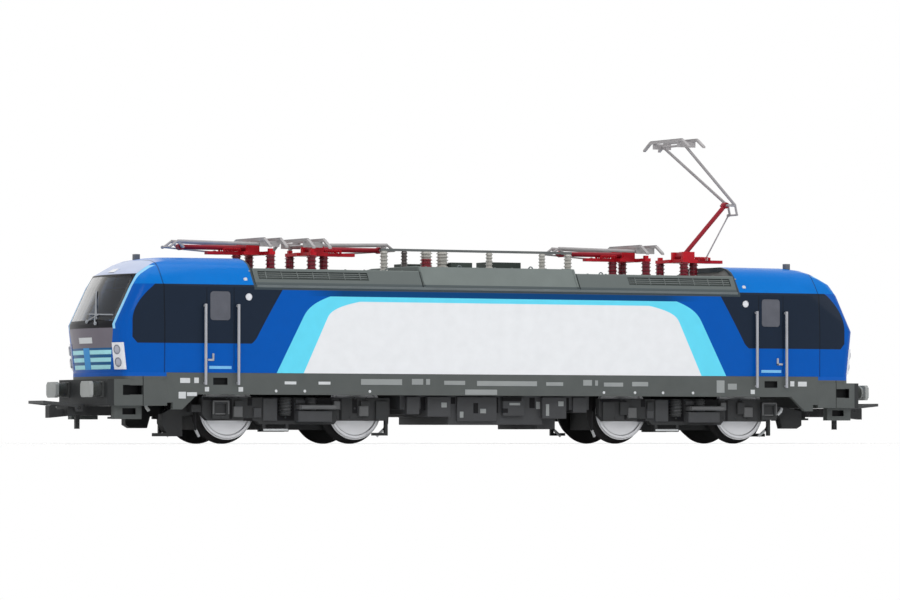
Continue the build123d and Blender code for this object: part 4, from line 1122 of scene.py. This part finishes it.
# %% Buffer flanges and lugs
HEADSTOCK_X = box_mm("headstocks")[1].x
BUFFER_Y, BUFFER_Z = 10.05, 13.0
FLANGE_HALF_Y, FLANGE_HALF_Z = 2.3, 1.9
COLLAR = [(0, 1.75), (1.5, 1.75), (1.7, 1.5), (1.9, 1.5)]
END_BOLTS = [(y, z) for y in (-1.9, 1.9) for z in (-1.5, 1.5)]
LUG = ((95.4, 14.6, 9.4), (95.2, 14.8, 8.6), (94.6, 14.8, 7.9))
flanges, lugs, end_bolts = Maker(), Maker(), []
for end in ENDS:
    face = end * HEADSTOCK_X
    outer = face + end * 0.4
    for side in SIDES:
        y = side * BUFFER_Y
        low = (face - end * 0.2, y - FLANGE_HALF_Y, BUFFER_Z - FLANGE_HALF_Z)
        flanges.block(low, (outer, y + FLANGE_HALF_Y, BUFFER_Z + FLANGE_HALF_Z), 0.2)
        flanges.turned((face, y, BUFFER_Z), (end, 0, 0), COLLAR, 20)
        for dy, dz in END_BOLTS:
            end_bolts.append(((outer, y + dy, BUFFER_Z + dz), (0.0, end * 90.0, 0.0), PLAIN))
        if side == end:
            lugs.wire([(end * x, side * y, z) for x, y, z in LUG], 0.42, 8)
flanges.done("buffer_flanges", ROOT, "frame_dark", "frame_grey")
lugs.done("end_lugs", ROOT, "bare_metal", "bare_metal")
repeat("end_bolts", bolt, end_bolts, ROOT, "frame_dark")

# %% [markdown]
# ## Bogies and wheels
# The side frames carry coil springs, dampers, raised panels and lugs, bolted covers, and sand
# pipes that end low before the wheels. Dark plates are painted shade for the deep openings in
# the casting. All of it swings with its bogie, so each piece rides on that body. The wheel faces
# are skins turned round the axle: a rim, a dished web and a hub.

# %% Places on the side frames
SPRING_OFFSET, SPRING_OUT, SPRING_FOOT_Z, SPRING_TOP_Z = 3.4, 0.4, 7.0, 11.0
SPRING_RADIUS, SPRING_TURNS, SPRING_WIRE = 1.42, 5, 0.2
FACE_INSET = 1.8
STEP_BAR = (2.4, 9.0, 3.15, 3.6)
BOLT_Z, BOLT_PITCH, BOLT_COUNT = 6.4, 3.5, 13
BOX_BOLTS = [(x, z) for x in (-1.6, 1.6) for z in (0.4, 2.8)]
PIPE_OUT, STUB_X, STUB_Z = 8.65, 27.9, 8.1
STUB = ((-0.6, -0.3, -0.7), (-0.1, 0.3, 0), (0.5, -0.2, 0.8))
PIPE = ((0, 10.9, 8.0), (0, 10.6, 5.0), (0.6, 9.6, 3.4), (1.6, 8.8, 2.2))
NOZZLE_END = (1.9, 8.6, 1.85)
COVER_NEAR, COVER_FAR, COVER_Z = 20.75, 23.85, 8.7
COVER_RIM = (
    (-2.2, -1.8, -1.6, 1.6),
    (1.8, 2.2, -1.6, 1.6),
    (-2.1, 2.1, -1.7, -1.3),
    (-2.1, 2.1, 1.3, 1.7),
)
DAMPER_OUT, DAMPER_Z = 2.6, 8.85
FRAME_PANELS = (
    (-9.2, -5.4, 5.5, 11.0, 0.35),
    (-11.7, -9.7, 6.3, 8.7, 0.45),
    (-0.5, 2.4, 9.7, 10.8, 0.5),
    (-0.6, 8.5, 5.3, 8.0, 2.15),
)
FRAME_LUGS = (
    (-17.2, -14.8, 6.4, 9.0, 0.75),
    (16.6, 19.1, 6.7, 9.2, 0.75),
    (9.6, 11.2, 8.4, 10.4, 0.9),
    (-0.4, 0.5, 8.3, 9.4, DAMPER_OUT),
    (8.4, 9.3, 8.3, 9.4, DAMPER_OUT),
)
# Dark plates on the side frames, painted shade for the casting's deep openings: u from, u to, z
# from, z to, proud.
FRAME_GAP_SHADES = (
    (-5.3, -0.8, 5.6, 11.1, 0.05),
    (2.6, 9.4, 9.7, 11.1, 0.05),
    (11.4, 12.1, 5.8, 11.0, 0.05),
    (-13.2, -12.0, 9.2, 11.1, 0.05),
    (-14.3, -11.9, 5.5, 6.2, 0.05),
    (-18.0, -17.4, 6.0, 10.8, 0.05),
    (15.0, 16.3, 7.4, 11.0, 0.05),
    (-25.0, -17.9, 10.5, 11.1, 0.05),
)
print("side frame:", len(FRAME_PANELS), "panels,", len(FRAME_LUGS), "lugs")

# %% Fitting the bogies
wheels_of = {
    "bogie_a": ("wheelset_1", "wheelset_2"),
    "bogie_b": ("wheelset_3", "wheelset_4"),
}
for body, sets in wheels_of.items():
    frame_node = body.replace("bogie", "bogie_frame")
    frame_skin = skin(frame_node)
    frame_face = box_mm(frame_node)[1].y - FACE_INSET
    pivot = anchors[body + "_swivel"]
    end = math.copysign(1, pivot.x)
    springs, pipes, tips, rims, panels, gap_shades = [Maker() for _ in range(6)]
    frame_bolts = []
    for side in SIDES:
        facing = (-side * 90.0, 0.0, 0.0)
        x0, x1, z0, z1 = STEP_BAR
        bar = (pivot.x + side * x0, pivot.x + side * x1, z0, z1)
        side_block(tips, side, *bar, 0.1, 0.05, frame_skin)
        cover_x = pivot.x + end * (COVER_NEAR if side == end else COVER_FAR)
        for x0, x1, z0, z1 in COVER_RIM:
            bar = (cover_x + x0, cover_x + x1, COVER_Z + z0, COVER_Z + z1)
            side_block(rims, side, *bar, 0.25, 0.06, frame_skin)
        for maker, rows in ((panels, FRAME_PANELS), (rims, FRAME_LUGS), (gap_shades, FRAME_GAP_SHADES)):
            for u0, u1, z0, z1, proud in rows:
                low = (pivot.x - side * u0, side * (frame_face - 0.2), z0)
                high = (pivot.x - side * u1, side * (frame_face + proud), z1)
                maker.block(low, high, min(0.12, proud / 2))
        damper_y = side * (frame_face + DAMPER_OUT)
        damper = [(pivot.x - side * u, damper_y, DAMPER_Z) for u in (-0.2, 9.1)]
        rims.wire(damper, 0.55, 12)
        if side != end:
            elbow = Vector(on_side(side, pivot.x + end * STUB_X, STUB_Z, frame_skin))
            tips.wire([elbow + Vector((x, side * y, z)) for x, y, z in STUB], 0.4)
        for k in range(BOLT_COUNT):
            bolt_x = pivot.x + (k - BOLT_COUNT // 2) * BOLT_PITCH + 0.4
            spot = on_side(side, bolt_x, BOLT_Z, frame_skin)
            if abs(spot[1]) > frame_face - 1.0:
                frame_bolts.append((spot, facing, PLAIN))
        for offset in (-SPRING_OFFSET, SPRING_OFFSET):
            x, y = pivot.x + offset, side * (frame_face + SPRING_OUT)
            foot, top = (x, y, SPRING_FOOT_Z), (x, y, SPRING_TOP_Z)
            springs.coil(foot, top, SPRING_RADIUS, SPRING_TURNS, SPRING_WIRE)
        for wheelset in sets:
            axle = anchors[wheelset + "_roll"]
            out = math.copysign(1, axle.x - pivot.x)
            for dx, dz in BOX_BOLTS:
                place = (axle.x + dx, side * (frame_face - 0.02), axle.z + dz)
                frame_bolts.append((place, facing, PLAIN))
            pipe_x = axle.x + out * PIPE_OUT
            places = [(pipe_x - out * x, side * y, z) for x, y, z in (*PIPE, NOZZLE_END)]
            pipes.wire(places[:-1], 0.28, 8)
            tips.wire([places[-3], places[-1]], 0.36, 8)
    springs.done(body + "_springs", body, "spring", "bare_metal")
    pipes.done(body + "_sand_pipes", body, "rubber", "black_plastic")
    rims.done(body + "_rims", body, "rim_grey", "black_plastic")
    panels.done(body + "_panels", body, "tank_grey", "black_plastic")
    gap_shades.done(body + "_gaps", body, "gap_shade_black", "black_plastic")
    tips.done(body + "_sand_nozzles", body, "plate", "bare_metal")
    repeat(body + "_bolts", bolt, frame_bolts, body, "black_plastic")

# %% Wheel faces
WHEEL_RIM = [(-0.25, 6.95), (0.22, 6.95), (0.34, 6.8), (0.34, 6.25), (0.08, 6.0)]
WHEEL_WEB = [(0.04, 4.4), (0.2, 2.3), (0.4, 2.0), (0.42, 1.1), (0.3, 0.02)]
WHEEL_FACE = WHEEL_RIM + WHEEL_WEB
wheel_y = box_mm("wheelset_1")[1].y
for number in range(1, 5):
    axle = anchors[f"wheelset_{number}_roll"]
    faces = Maker()
    for side in SIDES:
        faces.turned((axle.x, side * wheel_y, axle.z), (0, side, 0), WHEEL_FACE, 48)
    faces.done(f"wheel_faces_{number}", f"wheelset_{number}", "wheel_metal", "wheel_metal")
print("wheel faces: 8")

# %% [markdown]
# ## Pantographs
# Each head has two contact strips on its bars, and the lift springs lie on the base under the
# lower arm. Strips ride on the head, so that they follow the linkage; springs stay on the roof
# with the base.

# %% Contact strips and lift springs
STRIP_HALF, STRIP_WIDE = 7.8, 0.36
LIFT_NEAR, LIFT_FAR, LIFT_Y, LIFT_Z = 2.8, 7.0, 1.3, 47.1
LIFT_RADIUS, LIFT_TURNS, LIFT_WIRE = 0.36, 9, 0.1
LIFT_HOLDER = ((6.9, 1.0, 46.5), (7.3, 1.6, 47.4))
for number in range(1, 5):
    low, high = box_mm(f"panto_{number}_head")
    strips = Maker()
    for x in (low.x + 0.4, high.x - 0.4):
        foot = (x - STRIP_WIDE, -STRIP_HALF, high.z - 0.15)
        strips.block(foot, (x + STRIP_WIDE, STRIP_HALF, high.z + 0.2), 0.1)
    strips.done(f"panto_{number}_strips", f"panto_{number}_head", "carbon", "arm_metal")
    pivot = anchors[f"panto_{number}_raise"]
    way = 1 if number % 2 == 0 else -1
    lift = Maker()
    for side in SIDES:
        start = (pivot.x + way * LIFT_NEAR, side * LIFT_Y, LIFT_Z)
        stop = (pivot.x + way * LIFT_FAR, side * LIFT_Y, LIFT_Z)
        lift.coil(start, stop, LIFT_RADIUS, LIFT_TURNS, LIFT_WIRE)
        lift.block(*[(pivot.x + way * x, side * y, z) for x, y, z in LIFT_HOLDER])
    lift.done(f"panto_{number}_lift_springs", ROOT, "panto_red", "panto_red")
print("pantographs: 8 strips, 8 springs")

# %% [markdown]
# ## Studio
# The camera stands low, level with the wheels, to the left of the middle and far away with a
# long lens. The world is white to the camera and lights the model softly; three large lamps
# add shape.

# %% Camera and floor
CAMERA_MM = (-611.5, -1138.9, 1.0)
CAMERA_YAW, CAMERA_PITCH = 28.01, 1.54
FOCAL_PIXELS, IMAGE_WIDTH, SENSOR = 5197.0, 900.0, 36.0
FLOOR_HALF, FLOOR_FADE_MM, FLOOR_FADE_WIDTH = 4.0, 300.0, 240.0
FLOOR_CORNERS = ((-1, -1), (1, -1), (1, 1), (-1, 1))


def add_camera():
    data = bpy.data.cameras.new("camera")
    data.sensor_width = SENSOR
    data.lens = FOCAL_PIXELS * SENSOR / IMAGE_WIDTH
    data.clip_start, data.clip_end = 0.05, 20.0
    camera = bpy.data.objects.new("camera", data)
    camera.location = Vector(CAMERA_MM) * MM
    camera.rotation_euler = (math.radians(90 + CAMERA_PITCH), 0.0, math.radians(-CAMERA_YAW))
    bpy.context.scene.collection.objects.link(camera)
    bpy.context.scene.camera = camera


def add_floor():
    finish = satin("studio_floor", (0.94, 0.94, 0.94, 1.0), 0.9, grain=0.05, shade=0.02)
    away = finish.vector("LENGTH", {0: finish.place}, out="Value")
    finish.feed(alpha=away.below(FLOOR_FADE_MM, FLOOR_FADE_WIDTH))
    data = bpy.data.meshes.new("floor")
    corners = [(x * FLOOR_HALF, y * FLOOR_HALF, 0) for x, y in FLOOR_CORNERS]
    data.from_pydata(corners, [], [(0, 1, 2, 3)])
    data.materials.append(finish.material)
    floor = bpy.data.objects.new("floor", data)
    bpy.context.scene.collection.objects.link(floor)


add_camera()
add_floor()
print("camera at", CAMERA_MM, "mm")

# %% World and lamps
WORLD_STRENGTH = 0.55
MIDDLE = (0.0, 0.0, 0.03)


def add_world(strength):
    """White to the camera, in mirrors and through glass; softer as a light."""
    world = bpy.data.worlds.new("studio")
    bpy.context.scene.world = world
    world.use_nodes = True
    tree, white = world.node_tree, (1, 1, 1, 1)
    light = tree.nodes["Background"]
    light.inputs["Color"].default_value = white
    light.inputs["Strength"].default_value = strength
    seen = add_node(tree, "ShaderNodeBackground", {}, {"Color": white, "Strength": 1.0})
    rays = tree.nodes.new("ShaderNodeLightPath").outputs
    direct = Value(tree, rays["Is Camera Ray"])
    for label in ("Is Glossy Ray", "Is Transmission Ray"):
        direct = direct.maths("MAXIMUM", Value(tree, rays[label]))
    inputs = {0: direct, 1: Value(tree, light.outputs[0]), 2: seen}
    mixed = add_node(tree, "ShaderNodeMixShader", {}, inputs)
    plug(tree, tree.nodes["World Output"].inputs["Surface"], mixed)


def add_lamp(name, place, target, size, power):
    data = bpy.data.lights.new(name, "AREA")
    data.shape, data.size, data.energy = "DISK", size, power
    lamp = bpy.data.objects.new(name, data)
    lamp.location = place
    aim = Vector(target) - Vector(place)
    lamp.rotation_euler = aim.to_track_quat("-Z", "Y").to_euler()
    bpy.context.scene.collection.objects.link(lamp)


add_world(WORLD_STRENGTH)
add_lamp("key", (-0.5, -0.9, 0.8), MIDDLE, 0.6, 4.0)
add_lamp("fill", (0.8, -0.7, 0.5), MIDDLE, 0.6, 1.5)
add_lamp("top", (0.0, 0.1, 1.0), MIDDLE, 0.8, 4.0)
bpy.context.scene.view_settings.view_transform = "Standard"
print("studio ready")
